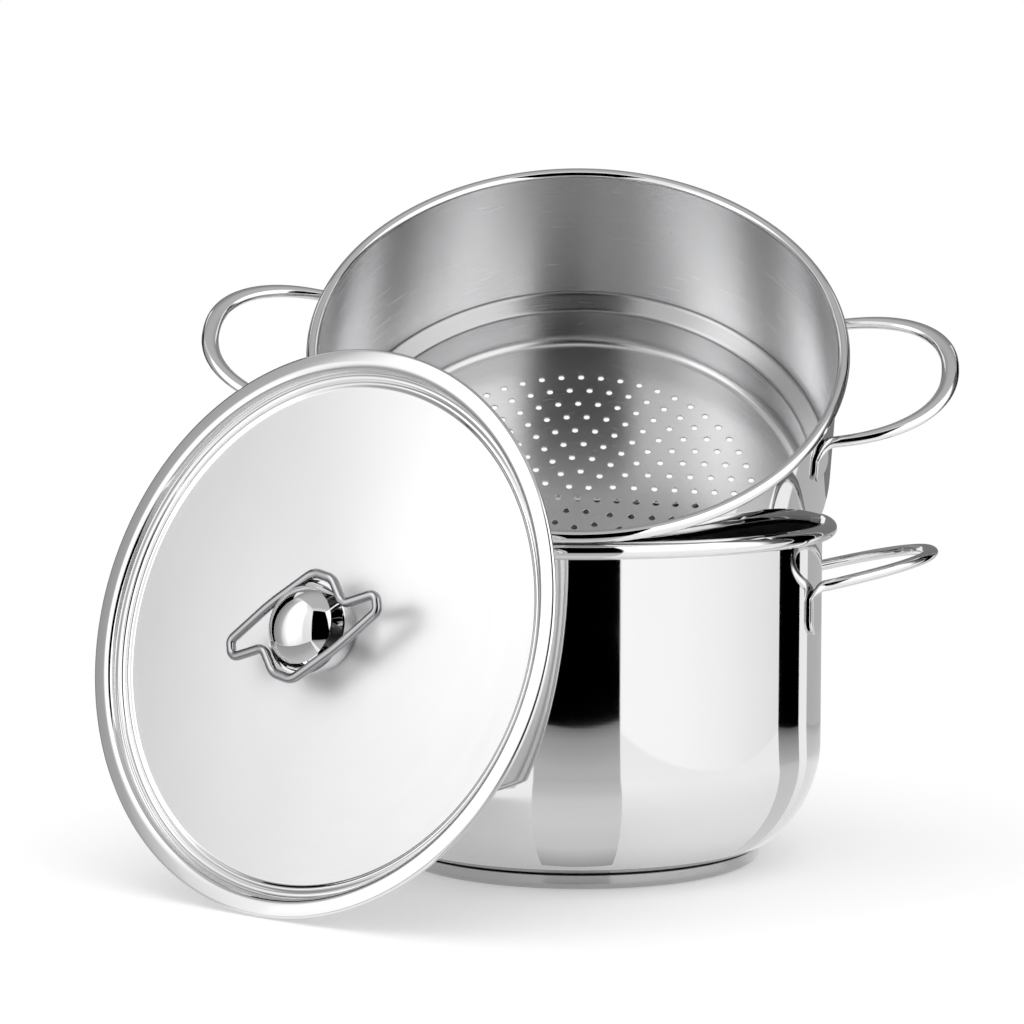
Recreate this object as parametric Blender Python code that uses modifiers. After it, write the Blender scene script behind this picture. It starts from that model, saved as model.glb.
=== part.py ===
"""Couscous pot: a stock pot, a perforated steamer leaning in its mouth, and a lid leaning on both.

Run with: blender --background --python part.py
Lengths are in metres, +Z is up, and the origin is the centre of the pot's resting face.
The set faces -Y. Handles are on the left (-X) and right (+X).
"""

import math

import bmesh
import bpy
from mathutils import Matrix, Vector

MM = 0.001

# Construction
TURN_STEPS = 40
SMALL_TURN_STEPS = 24
SHEET = 0.8 * MM
GAP = 0.3 * MM
WELD_DISTANCE = 0.01 * MM
SMOOTH_ANGLE = math.radians(40)

# Pot body
POT_RADIUS = 120.0 * MM
POT_HEIGHT = 167.3 * MM
POT_LIP_RADIUS = 4.0 * MM
POT_CORNER_WIDTH = 35.0 * MM
POT_CORNER_HEIGHT = 50.0 * MM
POT_CORNER_POWER = 1.8

# Sandwich base
BASE_INSET = 30.0 * MM
BASE_CORE_THICKNESS = 5.6 * MM
BASE_CAP_SHEET = 0.8 * MM
BASE_CAP_CORNER = 3.5 * MM
BASE_CORE_CLEARANCE = 0.6 * MM

# Steamer
STEAMER_OVERHANG = 5.4 * MM
STEAMER_LIP_RADIUS = 2.9 * MM
STEAMER_DEPTH = 106.6 * MM
STEAMER_SHOULDER_TOP = 78.0 * MM
STEAMER_SHOULDER_HEIGHT = 6.0 * MM
STEAMER_SHOULDER_EASE = 1.2 * MM
SPIGOT_CLEARANCE = 1.8 * MM
SPIGOT_CORNER = 6.0 * MM
LEAN_CLEARANCE = 0.7 * MM
STEAMER_TURN = math.radians(-4.5)

# Perforations of the steamer's floor
HOLE_DIAMETER = 3.2 * MM
HOLE_PITCH = 9.9 * MM
HOLE_SIDES = 6
HOLE_FIELD_MARGIN = 22.0 * MM
HOLE_CUTTER_DEPTH = 4.8 * MM

# Side handles of the pot and of the steamer
HANDLE_WIRE = 5.4 * MM
HANDLE_GRIP_WIDTH = 8.4 * MM
HANDLE_REACH = 57.0 * MM
HANDLE_HALF_SPAN = 40.5 * MM
HANDLE_BEND = 6.0 * MM
HANDLE_BULGE = 2.3
HANDLE_RISE = math.radians(13.0)
HANDLE_SIDES = 8
FOOT_WIDTH = 17.0 * MM
FOOT_HEIGHT = 20.0 * MM
FOOT_THICKNESS = 2.0 * MM
FOOT_TAPER = ((0.0, 0.45), (0.12, 0.85), (0.35, 1.0), (1.0, 1.0))
POT_HANDLE_DROP = 29.0 * MM
STEAMER_HANDLE_DROP = 15.3 * MM

# Lid
LID_OVERHANG = 7.0 * MM
LID_EDGE_RADIUS = 1.5 * MM
LID_MOUTH_CLEARANCE = 1.2 * MM
LID_SHOULDER_BEND = 4.0 * MM
LID_RECESS_DEPTH = 9.5 * MM
LID_RECESS_BEND = 2.2 * MM
LID_RIB_WIDTH = 4.8 * MM
LID_RIB_HEIGHT = 1.2 * MM
LID_LEAN = math.radians(17.05)
LID_FACING = math.radians(35.0)
LID_SIDE_SHIFT = 30.2 * MM

# Knob of the lid
LOOP_WIRE = 4.6 * MM
LOOP_LEVEL = 7.0 * MM
LOOP_HALF_LENGTH = 42.0 * MM
LOOP_NEAR_SIDE = 4.2 * MM
LOOP_BOW = 1.6 * MM
LOOP_BOW_BEND = 120.0 * MM
LOOP_NECK = (23.5 * MM, 4.2 * MM)
LOOP_HIP = (19.0 * MM, 17.5 * MM)
LOOP_CREST = (9.0 * MM, 23.4 * MM)
LOOP_TURN = math.radians(19.3)
LOOP_TIP_BEND = 3.6 * MM
LOOP_NECK_BEND = 5.0 * MM
LOOP_CREST_BEND = 8.0 * MM
DOME_SPHERE = 22.1 * MM
DOME_HEIGHT = 9.3 * MM
DOME_SHEET = 1.2 * MM
CUP_FOOT_RADIUS = 17.5 * MM
CUP_RIM_RADIUS = 22.0 * MM
CUP_FLARE = 0.6
CUP_SHEET = 1.2 * MM
STEM_RADIUS = 5.0 * MM
SCREW_RADIUS = 2.4 * MM
SCREW_HEAD_RADIUS = 4.6 * MM
SCREW_HEAD_HEIGHT = 2.6 * MM
SCREW_HEAD_WALL = 1.3 * MM
SCREW_HEAD_CROWN = 2.76 * MM
SCREW_CLEARANCE = 0.3 * MM
SCREW_ENGAGEMENT = 10.0 * MM
WASHER_RADIUS = 7.5 * MM
WASHER_THICKNESS = 1.0 * MM

# The search for the angle at which the steamer comes to rest
STEEPEST_TILT = math.radians(75)
TILT_STEP = math.radians(2)
TILT_ACCURACY = math.radians(0.001)

# Sizes that follow from the ones above
POT_INSIDE = POT_RADIUS - SHEET
POT_LIP_CENTRE = POT_INSIDE + POT_LIP_RADIUS
POT_LIP_LEVEL = POT_HEIGHT - POT_LIP_RADIUS
BASE_RADIUS = POT_RADIUS - BASE_INSET
BASE_CORE_BOTTOM = BASE_CAP_SHEET + GAP
BASE_TOP = BASE_CORE_BOTTOM + BASE_CORE_THICKNESS + GAP
STEAMER_RADIUS = POT_RADIUS + STEAMER_OVERHANG
STEAMER_INSIDE = STEAMER_RADIUS - SHEET
STEAMER_LIP_CENTRE = STEAMER_INSIDE + STEAMER_LIP_RADIUS
SPIGOT_RADIUS = POT_INSIDE - SPIGOT_CLEARANCE
STEAMER_SHOULDER_BOTTOM = STEAMER_SHOULDER_TOP + STEAMER_SHOULDER_HEIGHT
LID_RADIUS = STEAMER_RADIUS + LID_OVERHANG
LID_RECESS_OUTSIDE = STEAMER_INSIDE - LID_MOUTH_CLEARANCE
LID_BACK = LID_RECESS_DEPTH + SHEET
DOME_LEVEL = LOOP_LEVEL + LOOP_WIRE / 2 + GAP
DOME_RADIUS = math.sqrt(DOME_SPHERE**2 - (DOME_SPHERE - DOME_HEIGHT) ** 2)
CUP_TOP = LOOP_LEVEL - LOOP_WIRE / 2 - GAP


def start_scene(names):
    """Empties the scene and makes one collection for each name."""
    for obj in list(bpy.data.objects):
        bpy.data.objects.remove(obj, do_unlink=True)
    made = []
    for name in names:
        collection = bpy.data.collections.new(name)
        bpy.context.scene.collection.children.link(collection)
        made.append(collection)
    return made


PARTS, CUTTERS = start_scene(("couscous_pot", "cutters"))


def metal(name, colour, roughness):
    """A metal of the given colour and roughness."""
    material = bpy.data.materials.new(name)
    material.use_nodes = True
    shader = material.node_tree.nodes["Principled BSDF"]
    shader.inputs["Base Color"].default_value = (*colour, 1.0)
    shader.inputs["Metallic"].default_value = 1.0
    shader.inputs["Roughness"].default_value = roughness
    return material


def mesh_object(name, bm, collection=PARTS):
    """Puts a bmesh into a new object."""
    mesh = bpy.data.meshes.new(name)
    bm.to_mesh(mesh)
    bm.free()
    obj = bpy.data.objects.new(name, mesh)
    collection.objects.link(obj)
    return obj


def evaluated(obj):
    """Gives an object the mesh that its modifiers or its curve make, with the caps of a curve welded."""
    graph = bpy.context.evaluated_depsgraph_get()
    mesh = bpy.data.meshes.new_from_object(obj.evaluated_get(graph))
    bm = bmesh.new()
    bm.from_mesh(mesh)
    bmesh.ops.remove_doubles(bm, verts=bm.verts, dist=WELD_DISTANCE)
    bm.to_mesh(mesh)
    bm.free()
    name = obj.name
    bpy.data.objects.remove(obj, do_unlink=True)
    made = bpy.data.objects.new(name, mesh)
    PARTS.objects.link(made)
    return made


def finish(obj, material, parent=None):
    """Gives a piece its material, its smooth shading and the frame that carries it."""
    obj.data.materials.clear()
    obj.data.materials.append(material)
    obj.data.shade_smooth()
    obj.data.set_sharp_from_angle(angle=SMOOTH_ANGLE)
    obj.parent = parent
    return obj


def arc(centre_r, centre_z, radius, start, end, count):
    """Points of a profile along an arc. The angles are in degrees from the outward direction."""
    points = []
    for i in range(count + 1):
        angle = math.radians(start + (end - start) * i / count)
        points.append((centre_r + radius * math.cos(angle), centre_z + radius * math.sin(angle)))
    return points


def turned(name, profile, steps=TURN_STEPS, bored=False):
    """A profile in radius and height, spun round Z. It runs down its outer side.

    It begins and ends on the axis, unless it is bored: then it is a closed outline.
    """
    bm = bmesh.new()
    verts = [bm.verts.new((r, 0.0, z)) for r, z in profile]
    for a, b in zip(verts, verts[1:]):
        bm.edges.new((a, b))
    if bored:
        bm.edges.new((verts[-1], verts[0]))
    obj = mesh_object(name, bm)
    screw = obj.modifiers.new("Turn", "SCREW")
    screw.steps = steps
    screw.render_steps = steps
    screw.use_merge_vertices = True
    screw.merge_threshold = WELD_DISTANCE
    return obj


def carrier(name, location, rotation):
    """An empty that holds a loose piece of the set at its place and angle."""
    empty = bpy.data.objects.new(name, None)
    PARTS.objects.link(empty)
    empty.matrix_world = Matrix.Translation(location) @ rotation.to_4x4()
    return empty


def under_bead(bead_radius):
    """The angle, in degrees below the horizontal, where a wall runs into the bead that ends it."""
    return 90 + math.degrees(math.asin((bead_radius - SHEET) / bead_radius))


def pot_corner(wall_radius, floor_level, width, height):
    """The pot's soft lower corner as a quarter of a superellipse, from the wall down to the floor."""
    count = 6
    points = []
    for i in range(count + 1):
        angle = math.pi / 2 * i / count
        r = wall_radius - width + width * math.cos(angle) ** (2 / POT_CORNER_POWER)
        z = floor_level + height - height * math.sin(angle) ** (2 / POT_CORNER_POWER)
        points.append((r, z))
    return points


def pot_shell(material):
    """The drawn pot with its rolled pouring lip."""
    inside = pot_corner(
        POT_INSIDE, BASE_TOP + SHEET, POT_CORNER_WIDTH - SHEET, POT_CORNER_HEIGHT - SHEET
    )
    profile = [(0.0, BASE_TOP + SHEET)] + inside[::-1]
    profile += arc(POT_LIP_CENTRE, POT_LIP_LEVEL, POT_LIP_RADIUS, 180, -under_bead(POT_LIP_RADIUS), 9)
    profile += pot_corner(POT_RADIUS, BASE_TOP, POT_CORNER_WIDTH, POT_CORNER_HEIGHT)
    profile += [(0.0, BASE_TOP)]
    return finish(evaluated(turned("pot_shell", profile)), material)


def base_core(material):
    """The aluminium disc that spreads the heat, between the pot's floor and the cap."""
    radius = BASE_RADIUS - BASE_CAP_SHEET - BASE_CORE_CLEARANCE
    chamfer = BASE_CAP_CORNER - BASE_CAP_SHEET
    top = BASE_CORE_BOTTOM + BASE_CORE_THICKNESS
    profile = [
        (0.0, top),
        (radius, top),
        (radius, BASE_CORE_BOTTOM + chamfer),
        (radius - chamfer, BASE_CORE_BOTTOM),
        (0.0, BASE_CORE_BOTTOM),
    ]
    return finish(evaluated(turned("base_core", profile)), material)


def base_cap(material):
    """The steel cap of the base, pressed as a shallow cup round the core."""
    inside = BASE_RADIUS - BASE_CAP_SHEET
    bend = BASE_RADIUS - BASE_CAP_CORNER
    profile = [(0.0, BASE_CAP_SHEET)]
    profile += arc(bend, BASE_CAP_CORNER, BASE_CAP_CORNER - BASE_CAP_SHEET, -90, 0, 3)
    profile += [(inside, BASE_TOP - GAP), (BASE_RADIUS, BASE_TOP - GAP)]
    profile += arc(bend, BASE_CAP_CORNER, BASE_CAP_CORNER, 0, -90, 4)
    profile += [(0.0, 0.0)]
    return finish(evaluated(turned("base_cap", profile)), material)


def steamer_profile():
    """The bowl's section: perforated floor, spigot, sloping shoulder, wall and rolled rim."""
    floor = -STEAMER_DEPTH
    ease = STEAMER_SHOULDER_EASE
    slope = (STEAMER_RADIUS - SPIGOT_RADIUS) / STEAMER_SHOULDER_HEIGHT
    shoulder = [
        (STEAMER_RADIUS, -STEAMER_SHOULDER_TOP + ease),
        (STEAMER_RADIUS - slope * ease, -STEAMER_SHOULDER_TOP - ease),
        (SPIGOT_RADIUS + slope * ease, -STEAMER_SHOULDER_BOTTOM + ease),
        (SPIGOT_RADIUS, -STEAMER_SHOULDER_BOTTOM - ease),
    ]
    bend = SPIGOT_RADIUS - SPIGOT_CORNER
    profile = [(0.0, floor + SHEET)]
    profile += arc(bend, floor + SPIGOT_CORNER, SPIGOT_CORNER - SHEET, -90, 0, 3)
    profile += [(r - SHEET, z) for r, z in reversed(shoulder)]
    profile += arc(STEAMER_LIP_CENTRE, 0.0, STEAMER_LIP_RADIUS, 180, -under_bead(STEAMER_LIP_RADIUS), 8)
    profile += shoulder
    profile += arc(bend, floor + SPIGOT_CORNER, SPIGOT_CORNER, 0, -90, 3)
    profile += [(0.0, floor)]
    return profile


def hole_cutter(level):
    """A prism for each perforation: rings of 6, 12, 18 and so on round one in the middle."""
    places = [(0.0, 0.0)]
    field_radius = SPIGOT_RADIUS - SPIGOT_CORNER - HOLE_FIELD_MARGIN
    for ring in range(1, round(field_radius / HOLE_PITCH) + 1):
        for i in range(6 * ring):
            angle = 2 * math.pi * i / (6 * ring)
            places.append((ring * HOLE_PITCH * math.cos(angle), ring * HOLE_PITCH * math.sin(angle)))
    bm = bmesh.new()
    for x, y in places:
        bmesh.ops.create_cone(
            bm,
            cap_ends=True,
            segments=HOLE_SIDES,
            radius1=HOLE_DIAMETER / 2,
            radius2=HOLE_DIAMETER / 2,
            depth=HOLE_CUTTER_DEPTH,
            matrix=Matrix.Translation((x, y, level)),
        )
    cutter = mesh_object("perforation_cutter", bm, CUTTERS)
    cutter.hide_render = True
    cutter.display_type = "WIRE"
    return cutter


def steamer_shell(material, parent):
    """The steamer's bowl. Its origin is the centre of the circle through its rolled rim."""
    shell = turned("steamer_shell", steamer_profile())
    flat = shell.modifiers.new("Flat floor", "DECIMATE")
    flat.decimate_type = "DISSOLVE"
    flat.angle_limit = math.radians(0.2)
    cut = shell.modifiers.new("Perforations", "BOOLEAN")
    cut.operation = "DIFFERENCE"
    cut.object = hole_cutter(SHEET / 2 - STEAMER_DEPTH)
    return finish(evaluated(shell), material, parent)


def handle_half(wall_radius):
    """Half of a side handle, from the tip of its foot to the middle of its grip.

    Each entry is (centre, sideways direction, half width, half thickness, squareness). The wire
    runs up the wall as a flat foot, bends outward, and swings round to the grip's middle.
    """
    wire = HANDLE_WIRE / 2
    plate = FOOT_THICKNESS / 2
    around = math.asin(HANDLE_HALF_SPAN / wall_radius)
    foot = Vector((math.cos(around), -math.sin(around), 0.0)) * (wall_radius + GAP + plate)
    along_wall = Vector((math.sin(around), math.cos(around), 0.0))
    bend_angle = math.pi / 2 - HANDLE_RISE
    foot_top = foot + Vector((0.0, 0.0, -HANDLE_BEND * math.sin(bend_angle)))
    half = []
    for share, width in FOOT_TAPER:
        drop = Vector((0.0, 0.0, -(FOOT_HEIGHT - wire) * (1 - share)))
        half.append((foot_top + drop, along_wall, FOOT_WIDTH / 2 * width, plate, 1.0))
    bend_count = 4
    for i in range(1, bend_count + 1):
        share = i / bend_count
        angle = bend_angle * share
        swing = Vector((1 - math.cos(angle), 0.0, math.sin(angle))) * HANDLE_BEND
        side = along_wall.lerp(Vector((0.0, 1.0, 0.0)), share).normalized()
        half_width = wire + (FOOT_WIDTH / 2 - wire) * (1 - share) ** 2
        half.append((foot_top + swing, side, half_width, plate + (wire - plate) * share, 1 - share))
    start = half[-1][0]
    outward = Vector((math.cos(HANDLE_RISE), 0.0, math.sin(HANDLE_RISE)))
    grip = HANDLE_GRIP_WIDTH / 2
    reach = (wall_radius + HANDLE_REACH - grip - start.x) / math.cos(HANDLE_RISE)
    across = -start.y
    loop_count = 8
    for i in range(1, loop_count + 1):
        angle = math.pi / 2 * i / loop_count
        out = reach * math.sin(angle) ** (2 / HANDLE_BULGE)
        aside = across * (1 - math.cos(angle) ** (2 / HANDLE_BULGE))
        centre = start + outward * out + Vector((0.0, aside, 0.0))
        half.append((centre, None, wire + (grip - wire) * math.sin(angle), wire, 0.0))
    return half


def mirrored(entry):
    """The same section on the other half of the handle."""
    centre, side, half_width, half_thickness, squareness = entry
    flipped = Vector((centre.x, -centre.y, centre.z))
    if side is not None:
        side = Vector((side.x, -side.y, side.z))
    return flipped, side, half_width, half_thickness, squareness


def section(centre, side, normal, half_width, half_thickness, squareness):
    """The wire's outline at one place: round, oval, or squared off where it is a flat foot."""
    power = 1 - 0.5 * squareness
    points = []
    for i in range(HANDLE_SIDES):
        angle = 2 * math.pi * (i + 0.5) / HANDLE_SIDES
        across = math.copysign(abs(math.cos(angle)) ** power, math.cos(angle)) * half_width
        through = math.copysign(abs(math.sin(angle)) ** power, math.sin(angle)) * half_thickness
        points.append(centre + side * across + normal * through)
    return points


def side_handle(name, material, wall_radius, level, turn, parent=None):
    """A wire bent into a D, its ends pressed flat as feet that are welded to the wall.

    The mesh is a loft, because the wire's section changes from flat foot to round wire to oval grip.
    """
    half = handle_half(wall_radius)
    path = half + [mirrored(entry) for entry in reversed(half[:-1])]
    loop_normal = Vector((-math.sin(HANDLE_RISE), 0.0, math.cos(HANDLE_RISE)))
    bm = bmesh.new()
    rings = []
    for i, (centre, side, half_width, half_thickness, squareness) in enumerate(path):
        along = path[min(i + 1, len(path) - 1)][0] - path[max(i - 1, 0)][0]
        along.normalize()
        if side is None:
            side = loop_normal.cross(along)
        elif i > len(path) // 2:
            side = -side if side.y > 0 else side
        side = (side - along * side.dot(along)).normalized()
        outline = section(centre, side, along.cross(side), half_width, half_thickness, squareness)
        rings.append([bm.verts.new(point) for point in outline])
    for a, b in zip(rings, rings[1:]):
        for i in range(HANDLE_SIDES):
            j = (i + 1) % HANDLE_SIDES
            bm.faces.new((a[i], a[j], b[j], b[i]))
    bm.faces.new(rings[0][::-1])
    bm.faces.new(rings[-1])
    bmesh.ops.recalc_face_normals(bm, faces=bm.faces)
    handle = mesh_object(name, bm)
    handle.location = (0.0, 0.0, level)
    handle.rotation_euler = (0.0, 0.0, turn)
    return finish(handle, material, parent)


def lid_side(level_shift, bend_shift):
    """One face of the lid's sheet, from the flange's flat in to the middle of the disc.

    bend_shift is 0 on the top face and the sheet's thickness on the underside.
    """
    wall = LID_RECESS_OUTSIDE - SHEET
    shoulder = wall + LID_SHOULDER_BEND
    corner = wall - LID_RECESS_BEND
    corner_level = LID_RECESS_BEND - LID_RECESS_DEPTH
    points = arc(shoulder, -LID_SHOULDER_BEND, LID_SHOULDER_BEND - bend_shift, 90, 180, 4)
    points += arc(corner, corner_level, LID_RECESS_BEND + bend_shift, 0, -90, 3)
    rib_count = 4
    for i in range(rib_count + 1):
        share = i / rib_count
        lift = LID_RIB_HEIGHT * (1 - math.cos(2 * math.pi * share)) / 2
        if i:
            points.append((corner - LID_RIB_WIDTH * share, level_shift - LID_RECESS_DEPTH + lift))
    return points


def lid_disc(material, parent):
    """The pressed lid: curled edge, flange, recess that drops into the steamer's mouth, ringed disc."""
    bore = SCREW_RADIUS + SCREW_CLEARANCE
    edge = LID_RADIUS - LID_EDGE_RADIUS
    top = lid_side(0.0, 0.0)
    under = lid_side(-SHEET, SHEET)
    meet = math.degrees(math.asin((LID_EDGE_RADIUS - SHEET) / LID_EDGE_RADIUS))
    profile = [(bore, -LID_RECESS_DEPTH)] + top[::-1]
    profile += arc(edge, -LID_EDGE_RADIUS, LID_EDGE_RADIUS, 90, meet - 180, 6)[:-1]
    profile += [(edge - LID_EDGE_RADIUS * math.cos(math.radians(meet)), -SHEET)]
    profile += under + [(bore, -LID_BACK)]
    return finish(evaluated(turned("lid_disc", profile, bored=True)), material, parent)


def knob_dome(material, parent):
    """The polished cap of the knob, a pressed steel dome."""
    centre = DOME_LEVEL + DOME_HEIGHT - DOME_SPHERE
    start = math.degrees(math.acos(DOME_RADIUS / DOME_SPHERE))
    inner_sphere = DOME_SPHERE - DOME_SHEET
    inner_start = math.degrees(math.asin((DOME_LEVEL - centre) / inner_sphere))
    profile = arc(0.0, centre, DOME_SPHERE, 90, start, 6)
    profile += arc(0.0, centre, inner_sphere, inner_start, 90, 5)
    profile[0] = (0.0, profile[0][1])
    profile[-1] = (0.0, profile[-1][1])
    dome = turned("knob_dome", profile, SMALL_TURN_STEPS)
    return finish(evaluated(dome), material, parent)


def knob_cup(material, parent):
    """The flared cup that carries the wire loop on its rim, with a hole for the screw in its foot."""
    bore = SCREW_RADIUS + SCREW_CLEARANCE
    foot = GAP - LID_RECESS_DEPTH
    height = CUP_TOP - foot
    outside = []
    count = 6
    for i in range(count + 1):
        share = i / count
        r = CUP_FOOT_RADIUS + (CUP_RIM_RADIUS - CUP_FOOT_RADIUS) * share**CUP_FLARE
        outside.append((r, foot + height * share))
    inside = [(r - CUP_SHEET, max(z, foot + CUP_SHEET)) for r, z in outside]
    profile = [(bore, foot + CUP_SHEET)] + inside + outside[::-1] + [(bore, foot)]
    return finish(evaluated(turned("knob_cup", profile, SMALL_TURN_STEPS, bored=True)), material, parent)


def knob_stem(material, parent):
    """The threaded spacer inside the knob, which joins the dome to the screw."""
    bore = SCREW_RADIUS + SCREW_CLEARANCE
    bottom = GAP - LID_RECESS_DEPTH + CUP_SHEET + GAP
    roof = DOME_LEVEL + DOME_HEIGHT - DOME_SPHERE
    roof += math.sqrt((DOME_SPHERE - DOME_SHEET - GAP) ** 2 - STEM_RADIUS**2)
    bore_top = bottom + SCREW_ENGAGEMENT + GAP
    profile = [(0.0, roof), (STEM_RADIUS, roof), (STEM_RADIUS, bottom), (bore, bottom)]
    profile += [(bore, bore_top), (0.0, bore_top)]
    return finish(evaluated(turned("knob_stem", profile, SMALL_TURN_STEPS)), material, parent)


def knob_screw(material, parent):
    """The screw that clamps the knob from under the lid, with its round head."""
    seat = -LID_BACK - WASHER_THICKNESS - 2 * GAP
    tip = GAP - LID_RECESS_DEPTH + CUP_SHEET + GAP + SCREW_ENGAGEMENT
    profile = [(0.0, tip), (SCREW_RADIUS, tip), (SCREW_RADIUS, seat), (SCREW_HEAD_RADIUS, seat)]
    profile += [(SCREW_HEAD_RADIUS, seat - SCREW_HEAD_WALL)]
    profile += [(SCREW_HEAD_CROWN, seat - SCREW_HEAD_HEIGHT), (0.0, seat - SCREW_HEAD_HEIGHT)]
    return finish(evaluated(turned("knob_screw", profile, SMALL_TURN_STEPS)), material, parent)


def knob_washer(material, parent):
    """The flat washer between the screw's head and the lid's underside."""
    bore = SCREW_RADIUS + SCREW_CLEARANCE
    top = -LID_BACK - GAP
    bottom = top - WASHER_THICKNESS
    profile = [(bore, top), (WASHER_RADIUS, top), (WASHER_RADIUS, bottom), (bore, bottom)]
    washer = turned("knob_washer", profile, SMALL_TURN_STEPS, bored=True)
    return finish(evaluated(washer), material, parent)


def rounded_route(corners, count=3):
    """A closed plan of straight runs with an arc at each corner, given as (point, bend radius)."""
    route = []
    for i, (corner, radius) in enumerate(corners):
        before = (corners[i - 1][0] - corner).normalized()
        after = (corners[(i + 1) % len(corners)][0] - corner).normalized()
        half_angle = before.angle(after) / 2
        middle = (before + after).normalized()
        centre = corner + middle * (radius / math.sin(half_angle))
        sweep = math.pi - 2 * half_angle
        turn = 1 if before.cross(after) < 0 else -1
        for j in range(count + 1):
            angle = turn * sweep * (j / count - 0.5)
            arm = -middle * radius
            route.append(centre + Matrix.Rotation(angle, 2) @ arm)
    return route


def knob_loop(material, parent):
    """The finger loop: one closed wire, skewed so that each end is a narrow eye."""
    crest = Vector(LOOP_CREST)
    line_slope = (crest.y - LOOP_NEAR_SIDE) / (crest.x + LOOP_HALF_LENGTH)
    first = Vector((-LOOP_HALF_LENGTH, crest.y - line_slope * (crest.x + LOOP_HALF_LENGTH)))
    last = Vector((LOOP_HALF_LENGTH, LOOP_NEAR_SIDE))
    run = crest - first
    bow = (first + crest) / 2 + Vector((-run.y, run.x)).normalized() * LOOP_BOW
    upper = [
        (first, LOOP_TIP_BEND),
        (bow, LOOP_BOW_BEND),
        (crest, LOOP_CREST_BEND),
        (Vector(LOOP_HIP), LOOP_CREST_BEND),
        (Vector(LOOP_NECK), LOOP_NECK_BEND),
        (last, LOOP_TIP_BEND),
    ]
    corners = upper + [(-point, radius) for point, radius in upper]
    route = rounded_route(corners)
    curve = bpy.data.curves.new("knob_loop", "CURVE")
    curve.dimensions = "3D"
    curve.bevel_depth = LOOP_WIRE / 2
    curve.bevel_resolution = 2
    spline = curve.splines.new("POLY")
    spline.points.add(len(route) - 1)
    for point, place in zip(spline.points, route):
        point.co = (place.x, place.y, 0.0, 1.0)
    spline.use_cyclic_u = True
    wire = bpy.data.objects.new("knob_loop", curve)
    PARTS.objects.link(wire)
    loop = evaluated(wire)
    loop.location = (0.0, 0.0, LOOP_LEVEL)
    loop.rotation_euler = (0.0, 0.0, LOOP_TURN)
    return finish(loop, material, parent)


def hooked(tilt):
    """The steamer's rim centre, lean direction and axis when its rim hooks on the pot's lip at a tilt."""
    lean = Vector((0.0, math.cos(tilt), math.sin(tilt)))
    axis = Vector((0.0, -math.sin(tilt), math.cos(tilt)))
    lip = Vector((0.0, -POT_LIP_CENTRE, POT_LIP_LEVEL))
    wall_distance = POT_LIP_RADIUS + GAP
    beads_across = wall_distance - (STEAMER_LIP_RADIUS - SHEET)
    beads_apart = POT_LIP_RADIUS + STEAMER_LIP_RADIUS + GAP
    rise = math.sqrt(beads_apart**2 - beads_across**2)
    return lip + lean * (wall_distance + STEAMER_RADIUS) + axis * rise, lean, axis


def spigot_gap(tilt):
    """How far the tipped steamer's spigot stays from the round bead of the pot's lip."""
    centre, lean, axis = hooked(tilt)
    corner = SPIGOT_RADIUS - SPIGOT_CORNER
    rings = [(SPIGOT_RADIUS, STEAMER_SHOULDER_BOTTOM)]
    rings += [(r, STEAMER_DEPTH + z) for r, z in arc(corner, -SPIGOT_CORNER, SPIGOT_CORNER, 0, 90, 6)]
    least = STEAMER_DEPTH
    for r, depth in rings:
        for step in range(360):
            angle = math.radians(step)
            place = centre - axis * depth + lean * (r * math.cos(angle))
            x = r * math.sin(angle)
            across = math.hypot(x, place.y) - POT_LIP_CENTRE
            least = min(least, math.hypot(across, place.z - POT_LIP_LEVEL) - POT_LIP_RADIUS)
    return least


def resting_tilt():
    """The least tilt at which the spigot clears the lip on its way down from upright."""
    tilt = STEEPEST_TILT
    step = TILT_STEP
    while step > TILT_ACCURACY:
        if spigot_gap(tilt - step) > LEAN_CLEARANCE:
            tilt -= step
        else:
            step /= 2
    return tilt


def steamer_carrier():
    """The frame of the steamer, hooked on the pot's lip and tipped toward the front."""
    tilt = resting_tilt()
    centre, _, axis = hooked(tilt)
    rotation = Matrix.Rotation(tilt, 3, "X") @ Matrix.Rotation(STEAMER_TURN, 3, "Z")
    return carrier("steamer_frame", centre, rotation), centre, axis


def lid_carrier(rim_centre, rim_axis):
    """The lid standing on its edge and leaning back on the steamer's rim."""
    rotation = Matrix.Rotation(-LID_FACING, 3, "Z") @ Matrix.Rotation(math.pi / 2 - LID_LEAN, 3, "X")
    normal = rotation @ Vector((0.0, 0.0, 1.0))
    lateral = rotation @ Vector((1.0, 0.0, 0.0))
    side_on = normal.dot(rim_axis)
    rim_reach = STEAMER_LIP_CENTRE * math.sqrt(1 - side_on**2) + STEAMER_LIP_RADIUS
    stand_off = normal.dot(rim_centre) + rim_reach + LID_BACK + GAP
    edge = LID_RADIUS - LID_EDGE_RADIUS
    height = edge * math.cos(LID_LEAN) + LID_EDGE_RADIUS * (1 + math.sin(LID_LEAN))
    level = Vector((normal.x, normal.y, 0.0)).normalized()
    out = (stand_off - normal.z * height) / normal.dot(level)
    centre = level * out - lateral * LID_SIDE_SHIFT + Vector((0.0, 0.0, height))
    return carrier("lid_frame", centre, rotation)


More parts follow.
